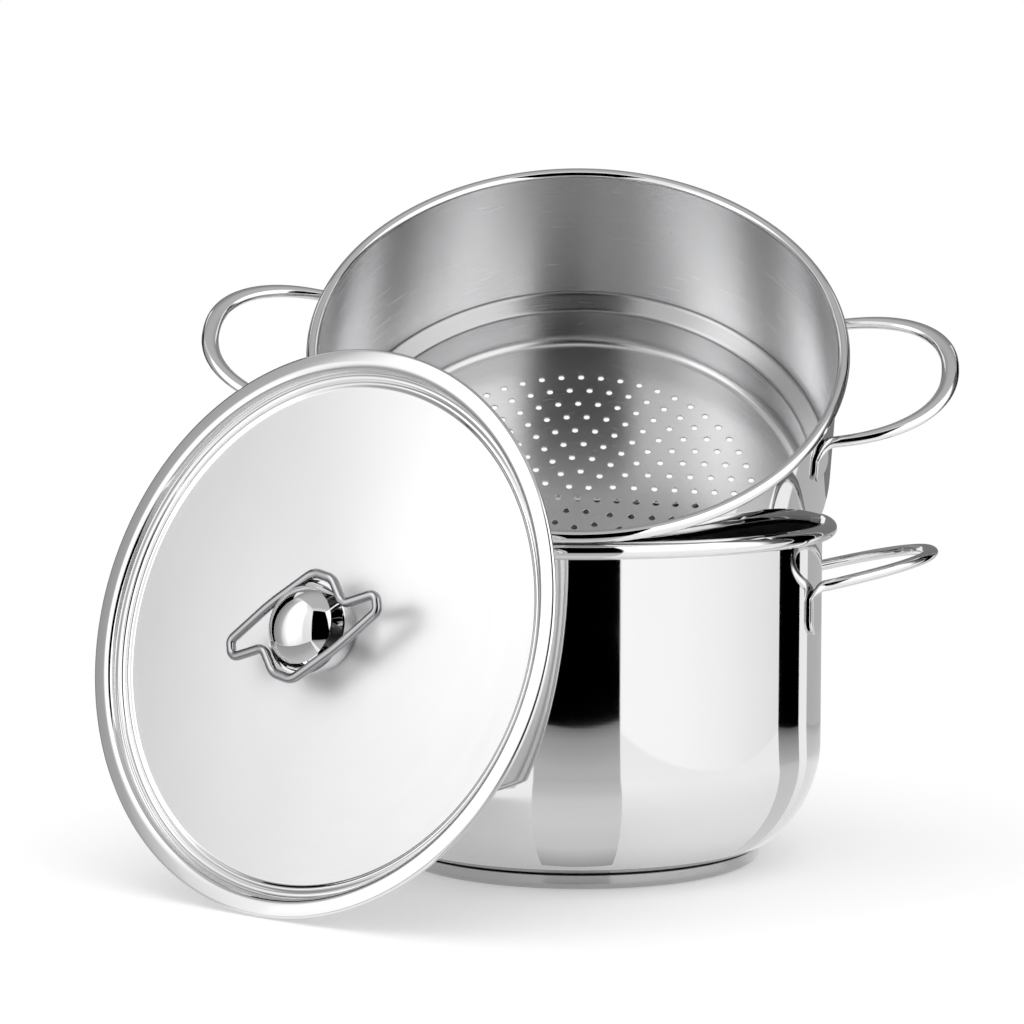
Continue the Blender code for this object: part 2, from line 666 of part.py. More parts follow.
def build():
    """Makes every piece of the set."""
    mirror_steel = metal("mirror_steel", (0.62, 0.62, 0.63), 0.08)
    inner_steel = metal("satin_steel", (0.60, 0.60, 0.61), 0.25)
    wire_steel = metal("wire_steel", (0.58, 0.58, 0.60), 0.15)
    lid_steel = metal("lid_steel", (0.66, 0.66, 0.67), 0.30)
    aluminium = metal("aluminium", (0.78, 0.78, 0.79), 0.35)
    pot_shell(mirror_steel)
    base_core(aluminium)
    base_cap(mirror_steel)
    steamer, rim_centre, rim_axis = steamer_carrier()
    steamer_shell(inner_steel, steamer)
    pot_level = POT_HEIGHT - POT_HANDLE_DROP
    for side, turn in (("right", 0.0), ("left", math.pi)):
        side_handle("pot_handle_" + side, wire_steel, POT_RADIUS, pot_level, turn)
        name = "steamer_handle_" + side
        side_handle(name, wire_steel, STEAMER_RADIUS, -STEAMER_HANDLE_DROP, turn, steamer)
    lid = lid_carrier(rim_centre, rim_axis)
    lid_disc(lid_steel, lid)
    knob_dome(mirror_steel, lid)
    knob_stem(inner_steel, lid)
    knob_cup(mirror_steel, lid)
    knob_loop(wire_steel, lid)
    knob_screw(wire_steel, lid)
    knob_washer(wire_steel, lid)


build()
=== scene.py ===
"""The looks of a couscous pot: smooth steel pieces round the packed model, and a plain studio.

Lengths are in metres, +Z is up, and the origin is the centre of the pot's resting face.
The set faces -Y. The sizes and places are those of the part's own source.
"""

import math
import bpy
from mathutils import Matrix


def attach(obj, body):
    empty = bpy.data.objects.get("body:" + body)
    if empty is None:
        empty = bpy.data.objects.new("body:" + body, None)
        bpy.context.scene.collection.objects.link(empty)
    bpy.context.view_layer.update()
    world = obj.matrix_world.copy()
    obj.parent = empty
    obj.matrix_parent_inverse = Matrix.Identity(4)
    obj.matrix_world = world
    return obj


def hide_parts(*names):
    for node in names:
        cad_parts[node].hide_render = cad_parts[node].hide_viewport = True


bl_info = {
    "name": "Couscous Pot",
    "version": (1, 0, 0),
    "blender": (4, 5, 0),
    "location": "View3D > Sidebar > Couscous Pot",
    "description": "Dresses the packed couscous pot: pot, steamer, lid, knob, handles and studio",
    "category": "Add Mesh",
}

import bmesh
import bpy
from bpy.props import FloatProperty, FloatVectorProperty, IntProperty, PointerProperty
from bpy.types import Operator, Panel, PropertyGroup
from mathutils import Matrix, Vector
from mathutils.geometry import delaunay_2d_cdt

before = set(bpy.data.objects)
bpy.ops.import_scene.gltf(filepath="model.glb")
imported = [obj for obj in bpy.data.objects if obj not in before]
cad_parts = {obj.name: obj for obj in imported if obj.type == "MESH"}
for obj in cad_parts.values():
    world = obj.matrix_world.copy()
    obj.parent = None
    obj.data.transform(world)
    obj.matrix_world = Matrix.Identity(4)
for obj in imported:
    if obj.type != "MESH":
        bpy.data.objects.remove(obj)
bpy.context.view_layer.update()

MM = 0.001
SHEET_SHARP = math.radians(32)
WIRE_SHARP = math.radians(50)
ON_AXIS = 0.01 * MM
SAME_POINT = 0.001 * MM

# What a noise texture gives lies mostly between these two
NOISE_LOW = 0.3
NOISE_HIGH = 0.7

# Lines to the metre that buffing and grinding leave, and the length of a banded wave at a scale of 1
BUFFED_LINES = 900.0
GROUND_LINES = 2600.0
LID_LINES = 3200.0
WAVE_PERIOD = math.tau / 20

# Where the studio's cards stand, as the places of their two feet. What stands at a side is given
# for the right and mirrored to the left
GAP = ((-0.182, -0.575), (0.182, -0.575))
SOFTBOX = ((0.172, -0.533), (0.502, 0.054))
FLAG = ((0.51, 0.062), (0.451, 0.205))
STRIP = ((0.45, 0.21), (0.415, 0.262))
GREY = ((0.41, 0.27), (0.12, 0.48))
BACK = ((-0.7, 0.62), (0.7, 0.62))

# Where the cards' shades end on the floor, close to the pot's base, and both ends of the lid's shade
GAP_SHADE_END = ((-0.018, -0.094), (0.018, -0.094))
FLAG_SHADE_END = ((0.0745, -0.054), (0.082, -0.0415))
GREY_SHADE_END = ((0.0855, -0.034), (0.092, 0.0))
LID_SHADE = ((-0.185, -0.5), (-0.485, 0.04))
LID_SHADE_END = ((-0.1, -0.24), (-0.25, 0.0))

# Heights of the cards. The pot's wall mirrors what is under the split, and the steamer and the lid
# mirror what is over it
SPLIT = 0.13
STRIP_TOP = 0.128
BRIGHT_TOP = 0.5
FLAG_TOP = 0.6
SOFTBOX_TOP = 0.7
GAP_TOP = 0.75
SKY_LEVEL = 1.7
SHADE_LEVEL = 0.5 * MM


def size(name, description, millimetres):
    """A length that a user may change, given in millimetres."""
    length = millimetres * MM
    return FloatProperty(
        name=name, description=description, default=length, min=0.0, precision=5, unit="LENGTH"
    )


def tilt(name, description, degrees):
    """An angle that a user may change, given in degrees."""
    angle = math.radians(degrees)
    return FloatProperty(name=name, description=description, default=angle, subtype="ANGLE")


def share(name, description, value, most=1.0):
    """A plain number from 0 to a limit."""
    return FloatProperty(name=name, description=description, default=value, min=0.0, max=most)


def count(name, description, value):
    """How many of a thing there are."""
    return IntProperty(name=name, description=description, default=value, min=3)


def spot(name, description, x, y):
    """A point of a plan that a user may change, given in millimetres."""
    return FloatVectorProperty(
        name=name, description=description, size=2, default=(x * MM, y * MM), precision=5, unit="LENGTH"
    )


def studio_place(name, description, x, y, z):
    """A place in the studio that a user may change, given in metres."""
    return FloatVectorProperty(
        name=name, description=description, default=(x, y, z), subtype="TRANSLATION", unit="LENGTH"
    )


def colour(name, description, value):
    """A colour that a user may change."""
    return FloatVectorProperty(
        name=name, description=description, default=value, min=0.0, max=1.0, subtype="COLOR"
    )


class SheetSizes(PropertyGroup):
    """What all the sheet pieces share"""

    thickness: size("Sheet", "Thickness of the drawn steel sheet", 0.8)
    gap: size("Gap", "Air between two pieces that are joined", 0.3)
    turn_steps: count("Turn steps", "Facets round a large turned piece", 192)
    small_turn_steps: count("Small turn steps", "Facets round a small turned piece", 96)


class PotSizes(PropertyGroup):
    """The pot and its sandwich base"""

    radius: size("Radius", "Outside radius of the pot's wall", 120.0)
    height: size("Height", "Height of the pot to the top of its lip", 167.3)
    lip: size("Lip", "Radius of the rolled pouring lip", 4.0)
    corner_width: size("Corner width", "How far the soft lower corner reaches in", 35.0)
    corner_height: size("Corner height", "How far the soft lower corner reaches up", 50.0)
    corner_power: share("Corner power", "Fullness of the lower corner", 1.8, 4.0)
    base_radius: size("Base radius", "Radius of the sandwich base", 90.0)
    base_core: size("Core", "Thickness of the aluminium core", 5.6)
    base_corner: size("Base corner", "Radius of the base cap's edge", 3.5)


class SteamerSizes(PropertyGroup):
    """The steamer with its perforated floor"""

    radius: size("Radius", "Outside radius of the steamer's wall", 125.4)
    lip: size("Lip", "Radius of the rolled rim", 2.9)
    depth: size("Depth", "From the rim's middle to the underside of the floor", 106.6)
    shoulder_top: size("Shoulder top", "Where the wall starts to draw in", 78.0)
    shoulder_height: size("Shoulder height", "Height of the sloping shoulder", 6.0)
    shoulder_ease: size("Shoulder ease", "How softly the shoulder bends", 1.2)
    spigot_clearance: size("Spigot clearance", "Air between the spigot and the pot", 1.8)
    spigot_corner: size("Spigot corner", "Radius of the bend into the floor", 6.0)
    hole: size("Hole", "Diameter of a perforation", 3.2)
    hole_pitch: size("Pitch", "Distance between rings of perforations", 9.9)
    hole_margin: size("Margin", "Plain floor left outside the perforations", 22.0)
    hole_edge: size("Hole edge", "Softened edge of a perforation", 0.2)
    hole_sides: count("Hole sides", "Facets round one perforation", 16)
    lean: tilt("Lean", "How far the steamer tips toward the front", 40.705)
    turn: tilt("Turn", "How far the steamer is turned on its own axis", -4.5)


class HandleSizes(PropertyGroup):
    """The four wire handles"""

    wire: size("Wire", "Diameter of the handle's wire", 5.4)
    grip: size("Grip", "Width of the flattened grip", 8.4)
    reach: size("Reach", "How far the grip stands off the wall", 57.0)
    half_span: size("Half span", "Half the distance between the feet", 40.5)
    bend: size("Bend", "Radius of the bend above a foot", 6.0)
    bulge: share("Bulge", "Fullness of the loop's outline", 2.3, 4.0)
    rise: tilt("Rise", "How far the loop slopes up", 13.0)
    foot_width: size("Foot width", "Width of the flattened foot", 17.0)
    foot_height: size("Foot height", "Height of the flattened foot", 20.0)
    foot_thickness: size("Foot thickness", "Thickness of the flattened foot", 2.0)
    pot_drop: size("Pot drop", "From the pot's top down to its handles", 29.0)
    steamer_drop: size("Steamer drop", "From the rim down to the steamer's handles", 15.3)
    sides: count("Sides", "Facets round the wire", 24)


class LidSizes(PropertyGroup):
    """The pressed lid"""

    radius: size("Radius", "Outside radius of the lid", 132.4)
    edge: size("Edge", "Radius of the curled edge", 1.5)
    mouth_clearance: size("Mouth clearance", "Air between the recess and the steamer", 1.2)
    shoulder: size("Shoulder", "Bend from the flange into the recess", 4.0)
    recess: size("Recess", "Depth of the recess", 9.5)
    recess_bend: size("Recess bend", "Bend at the foot of the recess", 2.2)
    rib_width: size("Rib width", "Width of the stiffening ring", 4.8)
    rib_height: size("Rib height", "Height of the stiffening ring", 1.2)
    lean: tilt("Lean", "How far the lid leans back", 17.05)
    facing: tilt("Facing", "How far the lid is turned from the front", 35.0)


class KnobSizes(PropertyGroup):
    """The knob and what clamps it to the lid"""

    wire: size("Wire", "Diameter of the finger loop's wire", 4.6)
    level: size("Level", "Height of the loop above the lid's flange", 7.0)
    half_length: size("Half length", "From the knob's middle to a tip of the loop", 42.0)
    near_side: size("Near side", "Distance of a tip from the loop's long axis", 4.2)
    neck: spot("Neck", "Where the wire narrows", 23.5, 4.2)
    hip: spot("Hip", "Where the wire swells", 19.0, 17.5)
    crest: spot("Crest", "Where the wire is widest", 9.0, 23.4)
    bow: size("Bow", "How far the long run of the wire bows out", 1.6)
    bow_bend: size("Bow bend", "Bend of the wire in its long run", 120.0)
    turn: tilt("Turn", "How far the loop is turned on the lid", 19.3)
    tip_bend: size("Tip bend", "Bend of the wire at a tip", 3.6)
    neck_bend: size("Neck bend", "Bend of the wire at the neck", 5.0)
    crest_bend: size("Crest bend", "Bend of the wire at the crest", 8.0)
    dome_sphere: size("Dome sphere", "Radius of the sphere that the dome is part of", 22.1)
    dome_height: size("Dome height", "Height of the dome", 9.3)
    cup_foot: size("Cup foot", "Radius of the cup at the lid", 17.5)
    cup_rim: size("Cup rim", "Radius of the cup under the loop", 22.0)
    cup_flare: share("Cup flare", "How quickly the cup widens", 0.6)
    sheet: size("Sheet", "Thickness of the dome and the cup", 1.2)
    stem: size("Stem", "Radius of the threaded stem", 5.0)
    screw: size("Screw", "Radius of the screw", 2.4)
    screw_clearance: size("Screw clearance", "Air round the screw", 0.3)
    thread: size("Thread", "Pitch of the screw's thread", 0.8)
    screw_head: size("Screw head", "Radius of the screw's head", 4.6)
    head_height: size("Head height", "Height of the screw's head", 2.6)
    engagement: size("Engagement", "How far the screw reaches into the stem", 10.0)
    washer: size("Washer", "Radius of the washer", 7.5)
    washer_thickness: size("Washer thickness", "Thickness of the washer", 1.0)


class Finishes(PropertyGroup):
    """Tones and blur of the metals"""

    mirror: colour("Mirror", "Mirror-polished steel", (0.80, 0.80, 0.805))
    satin: colour("Satin", "Satin steel inside the steamer and the pot", (0.94, 0.94, 0.945))
    # Painted shade: the perforated floor is the bowl's satin steel, given a darker tone so that it mirrors
    # the softboxes less brightly
    grate: colour("Grate", "Satin steel of the perforated floor", (0.6, 0.6, 0.605))
    # Painted shade: the inner shoulder is the bowl's satin steel, given a darker tone for the shade on it,
    # not a duller steel
    drawn: colour("Drawn", "Duller steel where the steamer's wall is drawn in", (0.46, 0.46, 0.465))
    lid: colour("Lid", "Fine satin steel of the lid's disc", (0.86, 0.86, 0.865))
    # Painted shade: the finger loop is the handles' polished wire, given a darker tone for the darker
    # things it mirrors
    loop: colour("Loop", "Darker wire of the finger loop", (0.40, 0.40, 0.41))
    # Partly the brushed steel's own tone and partly painted shade: the cap is darkened for the shadowed
    # floor by the base that it mirrors
    base: colour("Base", "Brushed steel of the base's cap", (0.52, 0.52, 0.525))
    wire: colour("Wire", "Polished wire of the handles", (0.80, 0.80, 0.81))
    core: colour("Core", "Aluminium of the base's core", (0.78, 0.78, 0.79))
    mirror_roughness: share("Mirror roughness", "Haze of the mirror polish", 0.035)
    satin_roughness: share("Satin roughness", "Blur of the satin steel", 0.25)
    lid_roughness: share("Lid roughness", "Blur of the lid's disc", 0.42)
    wire_roughness: share("Wire roughness", "Haze of the polished wire", 0.07)


class Studio(PropertyGroup):
    """Camera, floor and light"""

    camera_place: studio_place("Camera", "Where the camera stands", 0.0, -1.5502, 0.312)
    camera_dip: tilt("Dip", "How far the camera looks down", 5.24)
    camera_turn: tilt("Turn", "How far the camera looks to the right", -1.19)
    camera_lens: FloatProperty(name="Lens", description="Focal length in millimetres", default=111.2)
    floor: colour("Floor", "Colour of the pale floor", (0.72, 0.72, 0.72))
    floor_lift: share("Floor lift", "Light of its own that keeps the floor's picture white", 0.34)
    sky: share("Sky", "Soft light from all round", 0.73, 4.0)
    lamp: share("Lamp", "Power of the overhead soft light in watts", 9.4, 200.0)
    lamp_place: studio_place("Lamp place", "Where the overhead soft light hangs", -0.1, -0.3, 1.5)
    lamp_width: size("Lamp width", "Width of the overhead soft light", 1800.0)
    lamp_depth: size("Lamp depth", "Depth of the overhead soft light", 1400.0)


def material_named(name):
    """A new metal: the material, its tree, its shader and the piece's own coordinates."""
    material = bpy.data.materials.new(name)
    material.use_nodes = True
    tree = material.node_tree
    shader = tree.nodes["Principled BSDF"]
    shader.inputs["Metallic"].default_value = 1.0
    turned = node(tree, "Attribute", attribute_name="turned_place").outputs["Vector"]
    return material, tree, shader, turned


def node(tree, kind, inputs=(), **settings):
    """Adds a shader node with its properties, and links or sets its inputs, given as (socket, value)."""
    made = tree.nodes.new("ShaderNode" + kind)
    for key, value in settings.items():
        setattr(made, key, value)
    for socket, value in inputs:
        if isinstance(value, bpy.types.NodeSocket):
            tree.links.new(value, made.inputs[socket])
        else:
            made.inputs[socket].default_value = value
    return made


def bare_tree(owner):
    """The emptied node tree of a material or a world."""
    owner.use_nodes = True
    owner.node_tree.nodes.clear()
    return owner.node_tree


def noise(tree, place, scale, detail):
    """Noise over the given coordinates."""
    inputs = (("Vector", place), ("Scale", scale), ("Detail", detail))
    return node(tree, "TexNoise", inputs).outputs[0]


def hazed(tree, shader, value, low, high):
    """Lets the roughness drift over a range."""
    inputs = ((0, value), (1, NOISE_LOW), (2, NOISE_HIGH), (3, low), (4, high))
    haze = node(tree, "MapRange", inputs).outputs[0]
    tree.links.new(haze, shader.inputs["Roughness"])


def toned(tree, shader, value, tone, darker):
    """Lets the colour drift between the metal's own tone and a darker one."""
    dark = [channel * darker for channel in tone]
    inputs = (("Factor", value), (6, (*dark, 1.0)), (7, (*tone, 1.0)))
    mixed = node(tree, "Mix", inputs, data_type="RGBA").outputs[2]
    tree.links.new(mixed, shader.inputs["Base Color"])


def spun_grain(tree, turned, lines, arc_scale):
    """Noise drawn out into circles round the piece's own Z, as grinding on a lathe leaves it."""
    split = node(tree, "SeparateXYZ", ((0, turned),)).outputs
    flat = node(tree, "CombineXYZ", ((0, split[0]), (1, split[1]))).outputs[0]
    radius = node(tree, "VectorMath", ((0, flat),), operation="LENGTH").outputs["Value"]
    heading = node(tree, "VectorMath", ((0, flat),), operation="NORMALIZE").outputs[0]
    inputs = ((0, heading), ("Scale", arc_scale))
    heading = node(tree, "VectorMath", inputs, operation="SCALE").outputs[0]
    rings = node(tree, "Math", ((0, radius), (1, lines)), operation="MULTIPLY").outputs[0]
    rings = node(tree, "CombineXYZ", ((2, rings),)).outputs[0]
    vector = node(tree, "VectorMath", ((0, heading), (1, rings)), operation="ADD").outputs[0]
    level = node(tree, "Math", ((0, split[2]), (1, lines)), operation="MULTIPLY").outputs[0]
    inputs = (("Vector", vector), ("W", level), ("Scale", 1.0), ("Detail", 3.0))
    return node(tree, "TexNoise", inputs, noise_dimensions="4D").outputs[0]


def bumped(tree, shader, height, strength, distance):
    """Feeds a height to the shader's normal."""
    inputs = (("Strength", strength), ("Distance", distance), ("Height", height))
    bump = node(tree, "Bump", inputs)
    tree.links.new(bump.outputs[0], shader.inputs["Normal"])


def mirror_steel(name, tone, roughness):
    """Mirror polish: faint smudges in the haze and hardly visible buffing rings."""
    material, tree, shader, turned = material_named(name)
    smudge = noise(tree, turned, 22.0, 5.0)
    hazed(tree, shader, smudge, roughness * 0.6, roughness * 1.5)
    toned(tree, shader, smudge, tone, 0.965)
    bumped(tree, shader, spun_grain(tree, turned, BUFFED_LINES, 2.0), 0.05, 0.02 * MM)
    return material


def satin_steel(name, tone, roughness, anisotropy, lines):
    """Satin steel ground in circles: it blurs across the rings more than along them."""
    material, tree, shader, turned = material_named(name)
    grain = spun_grain(tree, turned, lines, 3.0)
    hazed(tree, shader, grain, roughness * 0.9, roughness * 1.1)
    toned(tree, shader, noise(tree, turned, 16.0, 3.0), tone, 0.94)
    shader.inputs["Anisotropic"].default_value = anisotropy
    shader.inputs["Anisotropic Rotation"].default_value = 0.25
    tangent = node(tree, "Attribute", attribute_name="ring_way")
    tree.links.new(tangent.outputs["Vector"], shader.inputs["Tangent"])
    bumped(tree, shader, grain, 0.03, 0.01 * MM)
    return material


def wire_steel(name, tone, roughness):
    """Drawn and polished wire: fine lines along it, and a little wear in the haze."""
    material, tree, shader, turned = material_named(name)
    along = node(tree, "UVMap", uv_map="Wire").outputs[0]
    inputs = (("Vector", along), ("Scale", (60.0, 14.0, 1.0)))
    stretched = node(tree, "Mapping", inputs).outputs[0]
    wear = noise(tree, turned, 60.0, 3.0)
    hazed(tree, shader, wear, roughness * 0.7, roughness * 1.6)
    toned(tree, shader, wear, tone, 0.95)
    bumped(tree, shader, noise(tree, stretched, 1.0, 3.0), 0.08, 0.03 * MM)
    return material


def cast_aluminium(name, tone):
    """The core's bare aluminium, with a fine grain over its own coordinates."""
    material, tree, shader, _ = material_named(name)
    grain = noise(tree, node(tree, "TexCoord").outputs["Object"], 700.0, 4.0)
    hazed(tree, shader, grain, 0.32, 0.5)
    toned(tree, shader, grain, tone, 0.9)
    bumped(tree, shader, grain, 0.3, 0.05 * MM)
    return material


def threaded_steel(name, tone, pitch):
    """Steel with a thread cut round the piece's own Z, its grooves darkened with painted shade."""
    material, tree, shader, turned = material_named(name)
    inputs = (("Vector", turned), ("Scale", WAVE_PERIOD / pitch), ("Distortion", 0.0))
    ridges = node(tree, "TexWave", inputs, bands_direction="Z").outputs["Fac"]
    hazed(tree, shader, ridges, 0.16, 0.3)
    # Painted shade: the colour darkens in the thread's grooves
    toned(tree, shader, ridges, tone, 0.8)
    bumped(tree, shader, ridges, 0.6, 0.3 * MM)
    return material


def finish_named(name):
    """The material of that name, made when it is first asked for."""
    finishes = bpy.context.scene.pot_finishes
    satin = finishes.satin_roughness
    wire = finishes.wire_roughness
    recipes = {
        "mirror_polish": (mirror_steel, finishes.mirror, finishes.mirror_roughness),
        "satin_bowl": (satin_steel, finishes.satin, satin, 0.6, GROUND_LINES),
        # The grate's darker tone is painted shade
        "satin_grate": (satin_steel, finishes.grate, satin, 0.6, GROUND_LINES),
        # The inner shoulder's darker tone is painted shade
        "satin_drawn": (satin_steel, finishes.drawn, satin, 0.6, GROUND_LINES),
        "satin_lid": (satin_steel, finishes.lid, finishes.lid_roughness, 0.5, LID_LINES),
        # The base cap's darker tone is partly painted shade
        "brushed_base": (satin_steel, finishes.base, satin, 0.4, GROUND_LINES),
        "wire_polish": (wire_steel, finishes.wire, wire),
        # The loop wire's darker tone is painted shade
        "loop_polish": (wire_steel, finishes.loop, wire),
        "screw_thread": (threaded_steel, finishes.wire, bpy.context.scene.pot_knob.thread),
        "core_aluminium": (cast_aluminium, finishes.core),
    }
    maker, *values = recipes[name]
    return bpy.data.materials.get(name) or maker(name, *values)


def new_object(name, bm, materials):
    """Turns a bmesh into an object of the scene with its materials."""
    mesh = bpy.data.meshes.new(name)
    bm.to_mesh(mesh)
    bm.free()
    for material in materials:
        mesh.materials.append(material)
    obj = bpy.data.objects.new(name, mesh)
    bpy.context.scene.collection.objects.link(obj)
    return obj


def piece(name, bm, finishes, place=Matrix.Identity(4), sharp=SHEET_SHARP):
    """Turns a bmesh into an object with its finishes, smooth where the surface is smooth.

    Each point keeps its place from before the piece was set down, and the direction that runs
    round the piece's own axis there, so that the finishes follow the piece as it was turned.
    """
    bmesh.ops.recalc_face_normals(bm, faces=bm.faces)
    turned_place = bm.verts.layers.float_vector.new("turned_place")
    ring_way = bm.verts.layers.float_vector.new("ring_way")
    for vert in bm.verts:
        vert[turned_place] = vert.co
        vert[ring_way] = (place.to_3x3() @ Vector((-vert.co.y, vert.co.x, 0.0))).normalized()
    bmesh.ops.transform(bm, matrix=place, verts=bm.verts)
    obj = new_object(name, bm, [finish_named(finish) for finish in finishes])
    obj.data.shade_smooth()
    obj.data.set_sharp_from_angle(angle=sharp)
    return obj


def seat(obj, body, cad_node):
    """Sets a piece on its body, in place of its CAD node, which it hides."""
    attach(obj, body)
    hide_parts(cad_node)


def turn_angles(steps):
    """Angles that divide a full turn evenly."""
    return [2 * math.pi * i / steps for i in range(steps)]


def arc(centre_r, centre_z, radius, start, end, rows):
    """Points of a section along an arc. The angles are in degrees from the outward direction."""
    points = []
    for i in range(rows + 1):
        angle = math.radians(start + (end - start) * i / rows)
        points.append((centre_r + radius * math.cos(angle), centre_z + radius * math.sin(angle)))
    return points


def spin(bm, outline, steps, closed=False):
    """Spins a section round Z. Each entry is (radius, height, finish of the band that follows it)."""
    rings = []
    for r, z, _ in outline:
        turns = turn_angles(steps) if r > ON_AXIS else [0.0]
        rings.append([bm.verts.new((r * math.cos(a), r * math.sin(a), z)) for a in turns])
    following = rings[1:] + (rings[:1] if closed else [])
    for (_, _, finish), lower, upper in zip(outline, rings, following):
        for i in range(steps):
            j = (i + 1) % steps
            if len(lower) == 1:
                corners = (lower[0], upper[i], upper[j])
            elif len(upper) == 1:
                corners = (lower[i], upper[0], lower[j])
            else:
                corners = (lower[i], upper[i], upper[j], lower[j])
            bm.faces.new(corners).material_index = finish
    return rings


def with_finish(points, finish):
    """Adds one finish to each point of a section."""
    return [(r, z, finish) for r, z in points]


def under_bead(bead_radius, sheet):
    """How many degrees below the outward direction the wall's outside meets the bead that ends it."""
    return 90 + math.degrees(math.asin((bead_radius - sheet) / bead_radius))


def soft_corner(wall_radius, floor_level, width, height, power):
    """A quarter of a superellipse from the wall down to the floor."""
    points = []
    rows = 40
    for i in range(rows + 1):
        angle = math.pi / 2 * i / rows
        r = wall_radius - width + width * math.cos(angle) ** (2 / power)
        z = floor_level + height - height * math.sin(angle) ** (2 / power)
        points.append((r, z))
    return points


def base_top(sheets, pot):
    """Level of the pot's underside, on top of the sandwich base."""
    return sheets.thickness + pot.base_core + 2 * sheets.gap


def standing(name, rotation, lowest):
    """The place of a turned CAD node: its axis is the middle of its box in its own directions.

    Its lowest point there is at the given height.
    """
    back = rotation.inverted()
    points = [back @ vertex.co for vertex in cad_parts[name].data.vertices]
    low = Vector(min(p[i] for p in points) for i in range(3))
    high = Vector(max(p[i] for p in points) for i in range(3))
    middle = Vector(((low.x + high.x) / 2, (low.y + high.y) / 2, low.z - lowest))
    return Matrix.Translation(rotation @ middle) @ rotation.to_4x4()


def steamer_place(scene):
    """Where the leaning steamer stands."""
    steamer = scene.pot_steamer
    rotation = Matrix.Rotation(steamer.lean, 3, "X") @ Matrix.Rotation(steamer.turn, 3, "Z")
    return standing("steamer_shell", rotation, -steamer.depth)


def lid_place(scene):
    """Where the leaning lid stands."""
    lid = scene.pot_lid
    rotation = Matrix.Rotation(-lid.facing, 3, "Z") @ Matrix.Rotation(math.pi / 2 - lid.lean, 3, "X")
    return standing("lid_disc", rotation, -lid.recess - scene.pot_sheets.thickness)


def hole_places(steamer, field):
    """Centres of the perforations: one in the middle and rings of 6, 12, 18 and so on round it."""
    places = [(0.0, 0.0)]
    for ring in range(1, round(field / steamer.hole_pitch) + 1):
        reach = ring * steamer.hole_pitch
        places += [(reach * math.cos(angle), reach * math.sin(angle)) for angle in turn_angles(6 * ring)]
    return places


def perforation(bm, steamer, sheets, x, y, finish):
    """The wall of one hole with its softened edges. It gives its upper and lower edge back."""
    sides = steamer.hole_sides
    radius = steamer.hole / 2
    edge = steamer.hole_edge
    low = -steamer.depth
    high = low + sheets.thickness
    rows = []
    for r, z in ((radius + edge, high), (radius, high - edge), (radius, low + edge), (radius + edge, low)):
        row = [bm.verts.new((x + r * math.cos(a), y + r * math.sin(a), z)) for a in turn_angles(sides)]
        rows.append(row)
    for above, below in zip(rows, rows[1:]):
        for i in range(sides):
            j = (i + 1) % sides
            bm.faces.new((above[i], below[i], below[j], above[j])).material_index = finish
    return rows[0], rows[-1]


def perforate(bm, steamer, sheets, upper_ring, lower_ring, field, finish):
    """Fills the floor inside two rings of points, with every perforation through both faces."""
    sides = steamer.hole_sides
    steps = len(upper_ring)
    uppers = list(upper_ring)
    lowers = list(lower_ring)
    edges = [(i, (i + 1) % steps) for i in range(steps)]
    for x, y in hole_places(steamer, field):
        first = len(uppers)
        upper_edge, lower_edge = perforation(bm, steamer, sheets, x, y, finish)
        edges += [(first + i, first + (i + 1) % sides) for i in range(sides)]
        uppers += upper_edge
        lowers += lower_edge
    points = [Vector(vert.co.xy) for vert in uppers]
    only_inside = 1
    nearest = 1e-7
    _, _, faces, origins, _, _ = delaunay_2d_cdt(points, edges, [], only_inside, nearest)
    for face in faces:
        corners = [origins[k][0] for k in face]
        holes = {(k - steps) // sides for k in corners}
        if min(corners) >= steps and len(holes) == 1:
            continue
        bm.faces.new([uppers[k] for k in corners]).material_index = finish
        bm.faces.new([lowers[k] for k in reversed(corners)]).material_index = finish


def loft(bm, path, sides):
    """Skins a wire of changing section and unrolls its length and girth into the Wire map."""
    unrolled = bm.loops.layers.uv.new("Wire")
    rings = [[bm.verts.new(point) for point in outline] for _, outline in path]
    for (start, _), (end, _), a, b in zip(path, path[1:], rings, rings[1:]):
        for i in range(sides):
            j = (i + 1) % sides
            face = bm.faces.new((a[i], a[j], b[j], b[i]))
            corners = ((start, i), (start, i + 1), (end, i + 1), (end, i))
            for loop, (length, girth) in zip(face.loops, corners):
                loop[unrolled].uv = (length, girth / sides)
    return rings


def wire_section(centre, side, normal, half_width, half_thickness, squareness, sides):
    """The wire's outline at one place: round, oval, or squared off where it is a flat foot."""
    boxiness = 0.62
    power = 1 - boxiness * squareness
    points = []
    for i in range(sides):
        angle = 2 * math.pi * (i + 0.5) / sides
        across = math.copysign(abs(math.cos(angle)) ** power, math.cos(angle)) * half_width
        through = math.copysign(abs(math.sin(angle)) ** power, math.sin(angle)) * half_thickness
        points.append(centre + side * across + normal * through)
    return points


def pressed_foot(sizes, foot_top, along_wall):
    """The flat foot of a side handle, from its tapered tip up to the bend."""
    wire = sizes.wire / 2
    rows = 14
    tip_width = 0.45
    widening = 0.35
    tip_thickness = 0.35
    thickening = 0.1
    entries = []
    for i in range(rows + 1):
        part = i / rows
        swell = math.sin(min(1.0, part / widening) * math.pi / 2)
        half_width = sizes.foot_width / 2 * (tip_width + (1 - tip_width) * swell)
        half_thickness = sizes.foot_thickness / 2 * min(1.0, tip_thickness + part / thickening)
        drop = Vector((0.0, 0.0, -(sizes.foot_height - wire) * (1 - part)))
        entries.append((foot_top + drop, along_wall, half_width, half_thickness, 1.0))
    return entries


